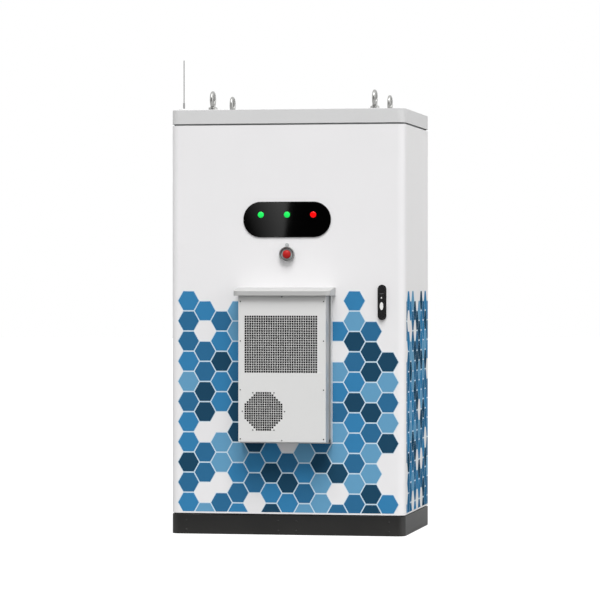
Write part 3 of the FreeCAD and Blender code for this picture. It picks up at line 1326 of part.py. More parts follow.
def make_ac_works():
    """Heat exchanger behind the intake, two motors and their fans."""
    coil_back = ac_split - s.skin
    coil_face = coil_back - s.coil_depth
    intake_high = intake_low + intake_height
    coil = slab("XZ_Plane", coil_back, s.coil_depth,
                rectangle((intake_left, intake_low), (intake_left + intake_width, intake_high)))
    start = intake_left + s.fin_pitch
    groove = rectangle((start, intake_low + s.fin_margin),
                       (start + s.fin_groove, intake_high - s.fin_margin))
    slot_rows(coil, coil_face, groove, "H_Axis", s.fin_pitch, s.fin_count, s.fin_depth)
    node(coil, "ac_condenser_coil")
    half = s.motor_half
    outer_motor = fused(block((fan_x - half, coil_back - s.motor_depth, fan_z - half),
                              (fan_x + half, coil_back, fan_z + half)),
                        rod(s.motor_shaft, s.outer_shaft, (fan_x, coil_back, fan_z), FORWARD))
    node(make_fan(fan_x, coil_back - s.motor_depth - s.fan_clear, fan_z, s.fan_radius, 5), "ac_outer_fan")
    inside = ac_split + s.skin
    hub_back = inside + s.room_shaft
    inner_motor = fused(block((-half, inside, room_fan_z - half),
                              (half, inside + s.room_motor_depth, room_fan_z + half)),
                        rod(s.motor_shaft, s.room_shaft, (0, hub_back, room_fan_z), FORWARD))
    node(group([outer_motor, inner_motor]), "ac_fan_motors")
    node(make_fan(0, hub_back, room_fan_z, s.room_fan_radius, 7), "ac_inner_fan")


def make_fan(x, y, z, radius, blades):
    """An axial fan facing the front: a many-sided hub on its shaft, with leaning blades round it."""
    tip = value_of(radius)
    hub = value_of(s.fan_hub)
    depth = value_of(s.fan_depth)
    thick = value_of(s.blade_thick)
    corners = [i * math.pi / blades for i in range(2 * blades)]
    rim = [FreeCAD.Vector(hub * math.cos(a), hub * math.sin(a), 0) for a in corners]
    core = Part.Face(Part.makePolygon(rim + rim[:1])).extrude(FreeCAD.Vector(0, 0, depth))
    chord = tip / 2
    root = hub - thick
    for number in range(blades):
        corner = FreeCAD.Vector(root, -chord / 2, (depth - thick) / 2)
        blade = Part.makeBox(tip - root, chord, thick, corner)
        blade.rotate(FreeCAD.Vector(0, 0, depth / 2), FreeCAD.Vector(1, 0, 0), BLADE_PITCH)
        blade.rotate(FreeCAD.Vector(), FreeCAD.Vector(0, 0, 1), number * 360 / blades)
        core = core.fuse(blade)
    core = core.cut(Part.makeCylinder(value_of(s.motor_shaft + s.pin_gap), depth))
    fan = doc.addObject("Part::Feature", "Fan")
    fan.Shape = core
    fan.Placement = FreeCAD.Placement(FreeCAD.Vector(value_of(x), value_of(y), value_of(z)), FORWARD)
    return fan


make_plinth()
make_shell()
make_frame()
make_roof()
make_lifting_eyes()
make_antenna()
make_racks()
make_switchgear()
make_door()
make_hinges()
make_lamps()
make_stop_button()
make_handle()
make_lock()
make_ac_housing()
node(make_ac_hood(), "ac_rain_hood")
make_ac_works()
doc.recompute()

# Every object has to be sound before anything is written
for thing in doc.Objects:
    if "Invalid" in thing.State or "Error" in thing.State:
        raise ValueError("failed object: %s %s %s" % (thing.Name, thing.Label, thing.State))
for thing in nodes:
    if thing.Shape.isNull() or not thing.Shape.isValid():
        raise ValueError("bad shape: " + thing.Label)
os.makedirs("parts", exist_ok=True)
for thing in nodes:
    thing.Shape.exportStep("parts/%s.step" % thing.Label)
print(len(nodes), "sub-parts written")
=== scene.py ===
"""Dressed scene of the outdoor battery cabinet: paint, printed hexagon film, punched air grilles,
lifting eyes, lamps, stop button, swing handle and screws, on a pale studio floor."""
import json
import math
import random

import bmesh
import bpy
from mathutils import Matrix, Vector

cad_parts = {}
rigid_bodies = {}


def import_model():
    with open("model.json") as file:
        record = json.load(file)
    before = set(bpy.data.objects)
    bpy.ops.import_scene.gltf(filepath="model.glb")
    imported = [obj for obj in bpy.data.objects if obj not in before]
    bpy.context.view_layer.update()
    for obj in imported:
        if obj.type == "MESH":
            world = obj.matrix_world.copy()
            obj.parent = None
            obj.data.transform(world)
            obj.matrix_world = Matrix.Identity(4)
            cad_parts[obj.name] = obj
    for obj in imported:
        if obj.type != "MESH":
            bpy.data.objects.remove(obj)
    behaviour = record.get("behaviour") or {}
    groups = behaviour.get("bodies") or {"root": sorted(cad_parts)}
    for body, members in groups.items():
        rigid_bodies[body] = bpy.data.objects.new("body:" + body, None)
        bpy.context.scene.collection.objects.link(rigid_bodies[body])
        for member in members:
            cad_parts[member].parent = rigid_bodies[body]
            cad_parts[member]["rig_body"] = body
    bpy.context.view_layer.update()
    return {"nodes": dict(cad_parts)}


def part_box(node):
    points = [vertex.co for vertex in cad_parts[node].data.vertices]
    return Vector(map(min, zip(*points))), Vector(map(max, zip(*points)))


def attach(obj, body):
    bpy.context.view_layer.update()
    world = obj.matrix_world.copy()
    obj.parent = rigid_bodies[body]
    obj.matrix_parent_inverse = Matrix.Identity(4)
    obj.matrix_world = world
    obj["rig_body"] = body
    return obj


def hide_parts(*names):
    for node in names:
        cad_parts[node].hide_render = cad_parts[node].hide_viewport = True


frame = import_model()
nodes = frame["nodes"]

MM = 0.001
FRONT = -0.425  # face of the door
BACK = 0.425  # face of the rear panel
SIDE = 0.6  # face of the side panels

# Input and output numbers of the Mix node, whose sockets share their names
MIX_FACTOR, FLOAT_A, FLOAT_B, COLOUR_A, COLOUR_B, COLOUR_OUT = 0, 2, 3, 6, 7, 2


# Shader nodes

def shade(colour):
    """A colour from its sRGB hex value to the linear values that a shader takes."""
    parts = [int(colour[i:i + 2], 16) / 255 for i in (1, 3, 5)]
    return [p / 12.92 if p <= 0.04045 else ((p + 0.055) / 1.055) ** 2.4 for p in parts] + [1.0]


def add(tree, kind, settings=None, links=None):
    """Adds one node with its settings and links; inputs go by name or number, the rest are properties."""
    made = tree.nodes.new(kind)
    for key, value in (settings or {}).items():
        if isinstance(key, int) or key in made.inputs:
            made.inputs[key].default_value = value
        else:
            setattr(made, key, value)
    for key, socket in (links or {}).items():
        tree.links.new(socket, made.inputs[key])
    return made


def new_material(name, settings=None):
    """A material with one shader, and the coordinates of the object that its pattern follows."""
    material = bpy.data.materials.new(name)
    material.use_nodes = True
    tree = material.node_tree
    tree.nodes.clear()
    shader = add(tree, "ShaderNodeBsdfPrincipled", settings)
    add(tree, "ShaderNodeOutputMaterial", links={"Surface": shader.outputs["BSDF"]})
    place = add(tree, "ShaderNodeTexCoord").outputs["Object"]
    return material, tree, shader, place


def per_metre(millimetres):
    """Texture scale whose features are about this many millimetres across."""
    return 1 / (millimetres * MM)


def noise(tree, place, millimetres, detail):
    made = add(tree, "ShaderNodeTexNoise", {"Scale": per_metre(millimetres), "Detail": detail},
               {"Vector": place})
    return made.outputs["Fac"]


def remap(tree, value, new_low, new_high, low=0.0, high=1.0):
    """The value moved from its old range to a new one, and held inside it."""
    made = add(tree, "ShaderNodeMapRange",
               {"From Min": low, "From Max": high, "To Min": new_low, "To Max": new_high},
               {"Value": value})
    return made.outputs[0]


def tinted(tree, colour, drift, factor):
    """The colour, drifting a little darker and lighter with a factor from 0 to 1."""
    base = shade(colour)
    dark = [c * (1 - drift) for c in base[:3]] + [1]
    light = [min(1, c * (1 + drift)) for c in base[:3]] + [1]
    mix = add(tree, "ShaderNodeMix", {"data_type": "RGBA", COLOUR_A: dark, COLOUR_B: light},
              {MIX_FACTOR: factor})
    return mix.outputs[COLOUR_OUT]


def finish_surface(tree, shader, tone, height, strength, depth, rough=None):
    """Links colour, a bump whose depth is in millimetres, and roughness where it varies."""
    tree.links.new(tone, shader.inputs["Base Color"])
    if rough is not None:
        tree.links.new(rough, shader.inputs["Roughness"])
    bump = add(tree, "ShaderNodeBump", {"Strength": strength, "Distance": depth * MM}, {"Height": height})
    tree.links.new(bump.outputs[0], shader.inputs["Normal"])


# Kinds of finish

# pale tone mixed in low down: partly dust, partly painted sheen
DUST_AND_SHEEN_TONE = "#8a857c"
DUST_AND_SHEEN_TOP = 0.12  # metres over the floor


def powder_coat(name, colour, drift=0.025, gloss=0.42, peel=0.06, dust_and_sheen=0.0):
    """Baked powder paint: even satin colour with a fine orange peel, and low down a pale tone that is
    partly dust, partly painted sheen.
    """
    material, tree, shader, place = new_material(name, {"IOR": 1.5})
    broad = noise(tree, place, 420, 4.0)
    tone = tinted(tree, colour, drift, broad)
    if dust_and_sheen:
        height = add(tree, "ShaderNodeSeparateXYZ", links={0: place}).outputs["Z"]
        # paler towards the floor: dust, and painted sheen
        dust_and_sheen_mask = add(tree, "ShaderNodeMath", {"operation": "MULTIPLY"},
                    {0: remap(tree, height, dust_and_sheen, 0.0, high=DUST_AND_SHEEN_TOP), 1: broad})
        tone = add(tree, "ShaderNodeMix", {"data_type": "RGBA", COLOUR_B: shade(DUST_AND_SHEEN_TONE)},
                   {MIX_FACTOR: dust_and_sheen_mask.outputs[0], COLOUR_A: tone}).outputs[COLOUR_OUT]
    rough = remap(tree, broad, gloss - 0.05, gloss + 0.05)
    finish_surface(tree, shader, tone, noise(tree, place, 2.2, 2.0), peel, 0.4, rough)
    return material


def moulded(name, colour, gloss, drift=0.05, grain=0.9, depth=0.05, coat=0.0, specular=0.5):
    """Injection moulded plastic, rubber or film: fine spark grain, gloss by its roughness."""
    material, tree, shader, place = new_material(
        name, {"Specular IOR Level": specular, "Coat Weight": coat, "Coat Roughness": 0.05})
    cloud = noise(tree, place, 35, 3.0)
    rough = remap(tree, cloud, max(0.03, gloss - 0.04), gloss + 0.04)
    finish_surface(tree, shader, tinted(tree, colour, drift, cloud), noise(tree, place, grain, 2.0),
                   depth, 0.2, rough)
    return material


def bare_metal(name, colour, gloss, streak=1.0, drift=0.12):
    """Plated or cast metal: mottled tone, drawn out along the height where streak is under 1."""
    material, tree, shader, place = new_material(name, {"Metallic": 1.0})
    stretch = add(tree, "ShaderNodeMapping", {"Scale": (1, 1, streak)}, {"Vector": place})
    grain = noise(tree, stretch.outputs[0], 3, 4.0)
    spangle = add(tree, "ShaderNodeTexVoronoi", {"Scale": per_metre(14)}, {"Vector": place})
    mottle = add(tree, "ShaderNodeMath", {"operation": "MULTIPLY_ADD", 1: 0.5},
                 {0: spangle.outputs["Color"], 2: grain})
    rough = remap(tree, grain, gloss - 0.06, gloss + 0.08)
    finish_surface(tree, shader, tinted(tree, colour, drift, mottle.outputs[0]), grain, 0.08, 0.3, rough)
    return material


def lens(name, colour, glow):
    """Clear coloured plastic over a lit lamp: bright, a little uneven, with a satin skin."""
    material, tree, shader, place = new_material(
        name, {"Emission Strength": glow, "Roughness": 0.3, "IOR": 1.25})
    facets = add(tree, "ShaderNodeTexVoronoi", {"Scale": per_metre(2.5)}, {"Vector": place})
    uneven = facets.outputs["Distance"]
    tone = tinted(tree, colour, 0.1, uneven)
    tree.links.new(tone, shader.inputs["Emission Color"])
    finish_surface(tree, shader, tone, uneven, 0.15, 0.3)
    return material


# Paint
door_coat = powder_coat("white_powder_coat", "#eeedee")  # satin white, nearly even
side_coat = powder_coat("white_powder_coat_side", "#ecebeb")  # the same paint on the fixed walls
roof_coat = powder_coat("pale_grey_powder_coat", "#d6d6d6")  # sets the roof off from the walls
cooler_coat = powder_coat("light_grey_powder_coat", "#dededd", peel=0.1)  # greyer than the door
cooler_side_painted_shade = powder_coat("cooler_side_painted_shade_coat", "#bcbcbb", peel=0.1)  # the cover's sides: the cover's own paint, darkened as painted shade
hood_coat = powder_coat("grey_hood_powder_coat", "#b8b8b7")  # the rain hood stands out from the cover
plinth_coat = powder_coat("black_powder_coat", "#1f1f1f", drift=0.08, gloss=0.3, dust_and_sheen=0.1)  # dusty black, its pale tone low down partly painted sheen
bottle_red = powder_coat("red_bottle_paint", "#b3261e", gloss=0.3)  # shiny signal red

# Metal
galvanised = bare_metal("galvanised_sheet", "#a9acad", 0.42)  # dull zinc with its spangle
zinc_plated = bare_metal("zinc_plated_steel", "#b4b6b8", 0.3, streak=0.2)  # brighter small steel parts
forged_steel = bare_metal("forged_galvanised_steel", "#a2a2a0", 0.36)  # mottled lifting eyes
screw_dark = bare_metal("darkened_screw_steel", "#5c5d5e", 0.4)  # dark dots on the grey cover

# Plastic and rubber, and black painted shade
die_cast = moulded("pale_lacquered_zinc", "#eeeeec", 0.2, drift=0.02)  # bright cap on the black handle
coil_painted_shade = moulded("coil_fins_painted_shade", "#161717", 0.55)  # heat exchanger behind the grille, near black as painted shade between its fins
cooler_inside_painted_shade = moulded("cooler_inside_painted_shade_black", "#0d0d0d", 0.9, grain=1.5, depth=0.3)  # black painted shade on the cooler's inside faces
seal_rubber = moulded("foamed_seal_rubber", "#161616", 0.75, grain=0.6, depth=0.2)  # soft matt black
case_plastic = moulded("textured_dark_case", "#3a3d40", 0.55)  # matt fronts of the modules
gloss_black = moulded("polished_black_plastic", "#030303", 0.0, grain=3, depth=0.002)  # mirrors the studio
handle_black = moulded("gloss_black_nylon", "#1b1b1c", 0.28, coat=0.3)  # soft sheen on the handle
fan_black = moulded("black_fan_plastic", "#161718", 0.5)  # keeps the grilles dark
guard_grey = moulded("grey_guard_plastic", "#8f9090", 0.35)  # stop guard, and the cooler's gasket
switch_grey = moulded("light_grey_switch_plastic", "#b9bcbc", 0.4)  # paler collar inside the guard
mast_white = moulded("white_antenna_plastic", "#dcdcdc", 0.4)  # the antenna's foot
mast_dark = moulded("grey_antenna_whip", "#8e8e8e", 0.4)  # a thin grey line against the white
stop_red = moulded("red_stop_plastic", "#b31a1a", 0.4, specular=0.25)  # deep red without a white glare
green_lens = lens("green_lamp_lens", "#1cd858", 0.42)  # two lamps lit green
red_lens = lens("red_lamp_lens", "#f00000", 0.5)  # one lamp lit red

# Printed film, which mirrors nothing and so keeps its colour at a flat angle
film_border = moulded("pale_film_border", "#c6dbe9", 0.4, drift=0.01, specular=0.0)
film_blues = [moulded(name, colour, 0.4, drift=0.02, specular=0.0) for name, colour in (
    ("sky_blue_film", "#679fc3"), ("mid_blue_film", "#3a81b1"),
    ("deep_blue_film", "#326c95"), ("navy_film", "#224862"))]


# Making pieces

TO_FRONT = Matrix.Rotation(math.radians(90), 4, "X")  # turns a piece's upright axis to the front
TO_BACK = Matrix.Rotation(math.radians(-90), 4, "X")
TO_RIGHT = Matrix.Rotation(math.radians(90), 4, "Y")
ROUND_STEPS, RING_STEPS, SMALL_STEPS = 48, 64, 12  # sides of a turned form


def in_scene(name, data):
    made = bpy.data.objects.new(name, data)
    bpy.context.scene.collection.objects.link(made)
    return made


def mesh_of(name, bm):
    mesh = bpy.data.meshes.new(name)
    bm.to_mesh(mesh)
    bm.free()
    return mesh


def even_normals(piece):
    piece.modifiers.new("EvenNormals", "WEIGHTED_NORMAL").keep_sharp = True


def finish_piece(name, bm, body, materials, replaced=(), smooth=35, weighted=True):
    """Turns a bmesh into an object that rides on a body, with its materials."""
    mesh = mesh_of(name, bm)
    piece = in_scene(name, mesh)
    for material in materials:
        mesh.materials.append(material)
    mesh.polygons.foreach_set("use_smooth", [True] * len(mesh.polygons))
    mesh.set_sharp_from_angle(angle=math.radians(smooth))
    if weighted:
        even_normals(piece)
    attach(piece, body)
    if replaced:
        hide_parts(*replaced)
    return piece


def stand_in_for(node_name, name, bm, materials):
    """A piece in place of one node, on its body and with its slot."""
    return finish_piece(name, bm, nodes[node_name]["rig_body"], materials,
                        (node_name,))


def round_edges(bm, edges, width, segments=2):
    bmesh.ops.bevel(bm, geom=edges, offset=width, offset_type="OFFSET", affect="EDGES",
                    segments=segments, profile=0.5, material=-1, clamp_overlap=True)


def softened(name, width, material, segments=2):
    """A node's own form with its sharp edges rounded, as sheet and castings have them."""
    bm = bmesh.new()
    bm.from_mesh(nodes[name].data)
    bmesh.ops.remove_doubles(bm, verts=bm.verts, dist=0.02 * MM)
    bmesh.ops.dissolve_limit(bm, angle_limit=math.radians(1), verts=bm.verts, edges=bm.edges,
                             use_dissolve_boundaries=False)
    sharp = [e for e in bm.edges if len(e.link_faces) == 2 and e.calc_face_angle(0) > math.radians(35)]
    round_edges(bm, sharp, width * MM, segments)
    return stand_in_for(name, name + "_dressed", bm, [material])


def turned(profile, centre, turn=None, steps=ROUND_STEPS):
    """A turned solid: a half outline (radius, height) in millimetres spun about the upright axis."""
    bm = bmesh.new()
    points = [bm.verts.new((r * MM, 0, h * MM)) for r, h in profile]
    edges = [bm.edges.new(pair) for pair in zip(points, points[1:])]
    bmesh.ops.spin(bm, geom=points + edges, axis=(0, 0, 1), cent=(0, 0, 0), steps=steps,
                   angle=2 * math.pi, use_merge=True, use_duplicate=False, dvec=(0, 0, 0))
    bmesh.ops.remove_doubles(bm, verts=bm.verts, dist=0.01 * MM)
    bmesh.ops.recalc_face_normals(bm, faces=bm.faces)
    move = Matrix.Translation(centre) @ (turn or Matrix.Identity(4))
    bmesh.ops.transform(bm, matrix=move, verts=bm.verts)
    return bm


def block(bm, centre, size):
    """Adds a box, in millimetres, and returns its faces."""
    place = Matrix.Translation([c * MM for c in centre]) @ Matrix.Diagonal([s * MM for s in size] + [1])
    made = bmesh.ops.create_cube(bm, size=1, matrix=place)
    return {f for v in made["verts"] for f in v.link_faces}


def join(parts):
    """Several bmeshes as one."""
    whole = bmesh.new()
    for part in parts:
        mesh = mesh_of("part", part)
        whole.from_mesh(mesh)
        bpy.data.meshes.remove(mesh)
    return whole


# Studio

SKY = 0.6  # brightness of the sky that lights the cabinet
GLOSS = 1.08  # brightness of the sky in glossy faces
GLOSS_EDGE = (-0.95, -0.6)  # where, towards the viewer, that sky goes from black to full
FLOOR_GLOW = 0.86  # lifts the floor to white for the eye, and lights nothing
CARD_CENTRE = (-2.64, -8.0, 1.75)
CARD_HALF = (1.2, 1.6)  # half width and half height
CARD_SLANT = 7  # degrees
CARD_EDGE = (-1.12, -0.82)  # where its glow fades, across the card
CARD_GLOW = 1.2
PICTURE, SENSOR = 600, 36  # pixels and millimetres across
FOCAL, RAISE = 3236.6, -15.12  # in pixels
EYE, EYE_TURN = (3.0246, -16.4843, 1.2629), 0.1822


def make_floor():
    """Pale floor that burns out to white for the eye, with a soft shadow where the cabinet stands."""
    bm = bmesh.new()
    bmesh.ops.create_circle(bm, cap_ends=True, segments=96, radius=60)
    floor = in_scene("floor", mesh_of("floor", bm))
    material, tree, shader, _ = new_material("pale_floor", {
        "Base Color": shade("#8c8c8c"), "Roughness": 0.9, "Specular IOR Level": 0.1,
        "Emission Color": (1, 1, 1, 1)})
    path = add(tree, "ShaderNodeLightPath")
    glow = add(tree, "ShaderNodeMath", {"operation": "MULTIPLY", 1: FLOOR_GLOW},
               {0: path.outputs["Is Camera Ray"]})
    tree.links.new(glow.outputs[0], shader.inputs["Emission Strength"])
    floor.data.materials.append(material)


def make_card():
    """A reflector that only glossy faces see: a soft band with a slanted edge in the lamp panel."""
    bm = bmesh.new()
    place_card = (Matrix.Translation(CARD_CENTRE) @ Matrix.Rotation(math.radians(CARD_SLANT), 4, "Y")
                  @ TO_FRONT @ Matrix.Diagonal((*CARD_HALF, 1, 1)))
    bmesh.ops.create_grid(bm, x_segments=1, y_segments=1, size=1, matrix=place_card)
    card = in_scene("reflector", mesh_of("reflector", bm))
    material, tree, shader, place = new_material("reflector_glow", {
        "Base Color": (0, 0, 0, 1), "Emission Color": (1, 1, 1, 1)})
    split = add(tree, "ShaderNodeSeparateXYZ", links={0: place})
    across = add(tree, "ShaderNodeMath", {"operation": "MULTIPLY_ADD", 1: 0.35},
                 {0: split.outputs["Z"], 2: split.outputs["X"]})
    glow = remap(tree, across.outputs[0], 0.0, CARD_GLOW, *CARD_EDGE)
    tree.links.new(glow, shader.inputs["Emission Strength"])
    card.data.materials.append(material)
    card.visible_camera = False
    card.visible_diffuse = False
    card.visible_shadow = False


def make_sky():
    """Even white sky, darker towards the viewer where only gloss mirrors it."""
    world = bpy.data.worlds.new("studio")
    bpy.context.scene.world = world
    world.use_nodes = True
    tree = world.node_tree
    tree.nodes.clear()
    path = add(tree, "ShaderNodeLightPath")
    towards = add(tree, "ShaderNodeSeparateXYZ",
                  links={0: add(tree, "ShaderNodeTexCoord").outputs["Generated"]})
    wall = remap(tree, towards.outputs["Y"], 0.0, GLOSS, *GLOSS_EDGE)
    gloss = add(tree, "ShaderNodeMix", {"data_type": "FLOAT", FLOAT_A: SKY},
                {MIX_FACTOR: path.outputs["Is Glossy Ray"], FLOAT_B: wall})
    seen = add(tree, "ShaderNodeMix", {"data_type": "FLOAT", FLOAT_B: 1.0},
               {MIX_FACTOR: path.outputs["Is Camera Ray"], FLOAT_A: gloss.outputs[0]})
    sky = add(tree, "ShaderNodeBackground", {"Color": (1, 1, 1, 1)}, {"Strength": seen.outputs[0]})
    add(tree, "ShaderNodeOutputWorld", links={"Surface": sky.outputs[0]})


def make_sun(name, power, spread, way):
    """A far light along a direction; its spread in degrees softens the shadows."""
    light = bpy.data.lights.new(name, "SUN")
    light.energy = power
    light.angle = math.radians(spread)
    in_scene(name, light).rotation_euler = Vector(way).to_track_quat("-Z", "Y").to_euler()


def make_light():
    make_sky()
    make_sun("key", 2.7, 35, (-0.12, 0.62, -1.0))
    make_sun("side_fill", 0.8, 60, (-1.0, 0.03, -0.1))
    view = bpy.context.scene.view_settings
    view.view_transform = "Standard"
    view.look = "None"


def make_camera():
    """The view that the photo was taken from."""
    data = bpy.data.cameras.new("camera")
    data.sensor_width = SENSOR
    data.lens = FOCAL / PICTURE * SENSOR
    data.shift_y = RAISE / PICTURE
    data.clip_end = 200
    eye = in_scene("camera", data)
    eye.location = EYE
    eye.rotation_euler = (math.pi / 2, 0, EYE_TURN)
    bpy.context.scene.camera = eye


# Printed hexagon film

HEX_WIDE, HEX_TALL = 107 * MM, 95.5 * MM
PITCH_X, PITCH_Z = 85.33 * MM, 102.3 * MM
LOWEST_ROW = 159.4 * MM
FILM_LOW = 114 * MM
BORDER = 3.2 * MM  # how far the pale film shows round each hexagon
BORDER_THICK, BLUE_THICK = 0.1 * MM, 0.2 * MM
TONES = (None, 0, 1, 2, 3)  # bare, or one of the four blues
TONE_WEIGHTS = (17, 14, 21, 29, 19)
EDGE_TONE = 1  # the top and bottom cells of a column are never bare
FRONT_FIRST, SIDE_FIRST = -509.5 * MM, -443 * MM  # centre of the first column
FRONT_TOPS = [10, 9, 9, 9, 8, 7, 7, 7, 8, 8, 10, 8, 7]  # highest row of each column
SIDE_TOPS = [10, 9, 10, 9, 10, 9, 9, 9, 10, 9, 10, 9]
SIDE_SQUEEZE = 0.86  # the side walls' hexagons are a little narrower
BEHIND_COOLER = ((-0.2325, 0.465), (0.2325, 1.2395))


def hexagon_cells(first_x, tops, seed, squeeze=1.0):
    """Cell centres with a blue for each; some cells stay bare."""
    pick = random.Random(seed)
    cells = []
    for column, top in enumerate(tops):
        lift = PITCH_Z / 2 if column % 2 else 0
        for row in range(-1 if lift else 0, top + 1):
            tone = pick.choices(TONES, TONE_WEIGHTS)[0]
            if tone is None and (row == top or row < 0):
                tone = EDGE_TONE
            if tone is not None:
                cells.append((first_x + column * PITCH_X * squeeze,
                              LOWEST_ROW + lift + row * PITCH_Z, tone))
    return cells


def slice_film(bm, point, normal, **cleared):
    bmesh.ops.bisect_plane(bm, geom=bm.verts[:] + bm.edges[:] + bm.faces[:], plane_co=(*point, 0),
                           plane_no=normal, **cleared)


def film(name, cells, grow, thick, lift, materials, wall):
    """Cut film: flat hexagons in X and Z, trimmed at the bottom and round what stands on the sheet."""
    to_world, edges, holes, body, squeeze = wall
    bm = bmesh.new()
    flat_top = Matrix.Rotation(math.radians(90), 4, "Z")
    half_wide = HEX_WIDE / 2 * squeeze + grow
    half_tall = (HEX_TALL / 2 + grow) * 2 / math.sqrt(3)
    for x, z, tone in cells:
        shape = Matrix.Translation((x, z, 0)) @ Matrix.Diagonal((half_wide, half_tall, 1, 1)) @ flat_top
        made = bmesh.ops.create_circle(bm, cap_ends=True, segments=6, radius=1, matrix=shape)
        for face in {f for v in made["verts"] for f in v.link_faces}:
            face.material_index = tone if len(materials) > 1 else 0
    slice_film(bm, (0, FILM_LOW), (0, 1, 0), clear_inner=True)
    for edge, outward in zip(edges, (-1, 1)):
        slice_film(bm, (edge, 0), (outward, 0, 0), clear_outer=True)
    for low, high in holes:
        for point, normal in ((low, (1, 0, 0)), (low, (0, 1, 0)), (high, (1, 0, 0)), (high, (0, 1, 0))):
            slice_film(bm, point, normal)
        gone = [f for f in bm.faces if low[0] < f.calc_center_median().x < high[0]
                and low[1] < f.calc_center_median().y < high[1]]
        bmesh.ops.delete(bm, geom=gone, context="FACES")
    grown = bmesh.ops.extrude_face_region(bm, geom=bm.faces[:])
    outer = [g for g in grown["geom"] if isinstance(g, bmesh.types.BMVert)]
    bmesh.ops.translate(bm, verts=outer, vec=(0, 0, thick))
    bmesh.ops.translate(bm, verts=bm.verts, vec=(0, 0, lift))
    bmesh.ops.recalc_face_normals(bm, faces=bm.faces)
    bmesh.ops.transform(bm, matrix=to_world, verts=bm.verts)
    finish_piece(name, bm, body, materials, weighted=False)


def film_pair(border_name, blue_name, cells, wall):
    """The pale film on a wall, and the blue hexagons on top of it."""
    film(border_name, cells, BORDER, BORDER_THICK, 0, [film_border], wall)
    film(blue_name, cells, 0, BLUE_THICK, BORDER_THICK, film_blues, wall)


def make_films():
    """Film on the door and on both side walls; each wall's matrix turns it upright, facing outward."""
    front = Matrix(((1, 0, 0, 0), (0, 0, -1, FRONT), (0, 1, 0, 0), (0, 0, 0, 1)))
    film_pair("hexagon_film_border", "hexagon_film", hexagon_cells(FRONT_FIRST, FRONT_TOPS, 11),
              (front, (-0.57, 0.57), [BEHIND_COOLER], "door", 1.0))
    right = Matrix(((0, 0, 1, SIDE), (1, 0, 0, 0), (0, 1, 0, 0), (0, 0, 0, 1)))
    left = Matrix(((0, 0, -1, -SIDE), (-1, 0, 0, 0), (0, 1, 0, 0), (0, 0, 0, 1)))
    for label, matrix, edges, seed in (("right", right, (-0.367, 0.384), 23),
                                       ("left", left, (-0.384, 0.367), 31)):
        film_pair("side_film_border_" + label, "side_film_" + label,
                  hexagon_cells(SIDE_FIRST, SIDE_TOPS, seed, SIDE_SQUEEZE),
                  (matrix, edges, [], "cabinet", SIDE_SQUEEZE))


# Air conditioner, in millimetres

COVER_CENTRE, COVER_SIZE = (0, -520, 852), (446, 100, 756)
COVER_FACE = -0.57  # in metres
COVER_FOLD, COVER_SHEET = 3.5 * MM, 1.8 * MM  # bend radius and thickness
FAN_X, FAN_Z = -94, 629
INTAKE = {"left": -190.2, "low": 822.8, "pitch": 12, "hole": 9.9, "columns": 31, "rows": 24}
FAN_GRILLE = {"left": FAN_X - 8 * 11.5 - 4.8, "low": FAN_Z - 8 * 11.5 - 4.8, "pitch": 11.5, "hole": 9.6,
              "columns": 17, "rows": 17}
FLANGE_TOP, FLANGE_WIDE = 1208, 10


def looks_front(face):
    return face.normal.y < -0.99


def cut_front(bm, axis, value, low, high):
    """Cuts the cover's face along one line, only between two corners."""
    reach = 0.01 * MM
    faces = []
    for face in bm.faces:
        middle = face.calc_center_median()
        if looks_front(face) and low[0] - reach < middle.x < high[0] + reach \
                and low[1] - reach < middle.z < high[1] + reach:
            faces.append(face)
    edges = {e for f in faces for e in f.edges}
    verts = {v for f in faces for v in f.verts}
    point = (value, 0, 0) if axis == "x" else (0, 0, value)
    normal = (1, 0, 0) if axis == "x" else (0, 0, 1)
    bmesh.ops.bisect_plane(bm, geom=faces + list(edges) + list(verts), plane_co=point, plane_no=normal)


def punch(bm, grille, is_open):
    """Opens the square holes of one grille in the cover's face."""
    left, low = grille["left"] * MM, grille["low"] * MM
    pitch, hole = grille["pitch"] * MM, grille["hole"] * MM
    right = left + (grille["columns"] - 1) * pitch + hole
    high = low + (grille["rows"] - 1) * pitch + hole
    whole_face = ((-1, 0), (1, 2))
    cut_front(bm, "z", low, *whole_face)
    cut_front(bm, "z", high, *whole_face)
    cut_front(bm, "x", left, (-1, low), (1, high))
    cut_front(bm, "x", right, (-1, low), (1, high))
    for axis, start, count in (("x", left, grille["columns"]), ("z", low, grille["rows"])):
        for number in range(count):
            for edge in (0, hole):
                cut_front(bm, axis, start + number * pitch + edge, (left, low), (right, high))
    gone = []
    for face in bm.faces:
        middle = face.calc_center_median()
        if not (looks_front(face) and left < middle.x < right and low < middle.z < high):
            continue
        column, across = divmod(middle.x - left, pitch)
        row, up = divmod(middle.z - low, pitch)
        if across < hole and up < hole and is_open(int(column), int(row)):
            gone.append(face)
    bmesh.ops.delete(bm, geom=gone, context="FACES")


def in_octagon(column, row):
    """Whether a hole lies inside the fan grille's stepped octagon."""
    last = FAN_GRILLE["columns"] - 1
    outermost = 3  # rows to each side of the middle in the first and last column
    return abs(row - last // 2) <= outermost + min(column, last - column)


def make_cooler_cover():
    """The folded cover, open at its back, with both grilles punched through its face."""
    bm = bmesh.new()
    block(bm, COVER_CENTRE, COVER_SIZE)
    back = [f for f in bm.faces if f.normal.y > 0.9]
    bmesh.ops.delete(bm, geom=back, context="FACES")
    round_edges(bm, [e for e in bm.edges if len(e.link_faces) == 2], COVER_FOLD, 3)
    bm.normal_update()
    for face in bm.faces:
        # faces looking sideways take the darker copy of the paint, painted shade on the cover's sides
        face.material_index = int(abs(face.normal.x) > 0.9)
    punch(bm, INTAKE, lambda column, row: True)
    punch(bm, FAN_GRILLE, in_octagon)
    piece = finish_piece("cooler_cover_punched", bm, "door", [cooler_coat, cooler_side_painted_shade],
                         ("ac_cover", "ac_grille_bars"), weighted=False)
    sheet = piece.modifiers.new("Sheet", "SOLIDIFY")
    sheet.thickness = COVER_SHEET
    sheet.offset = -1
    even_normals(piece)


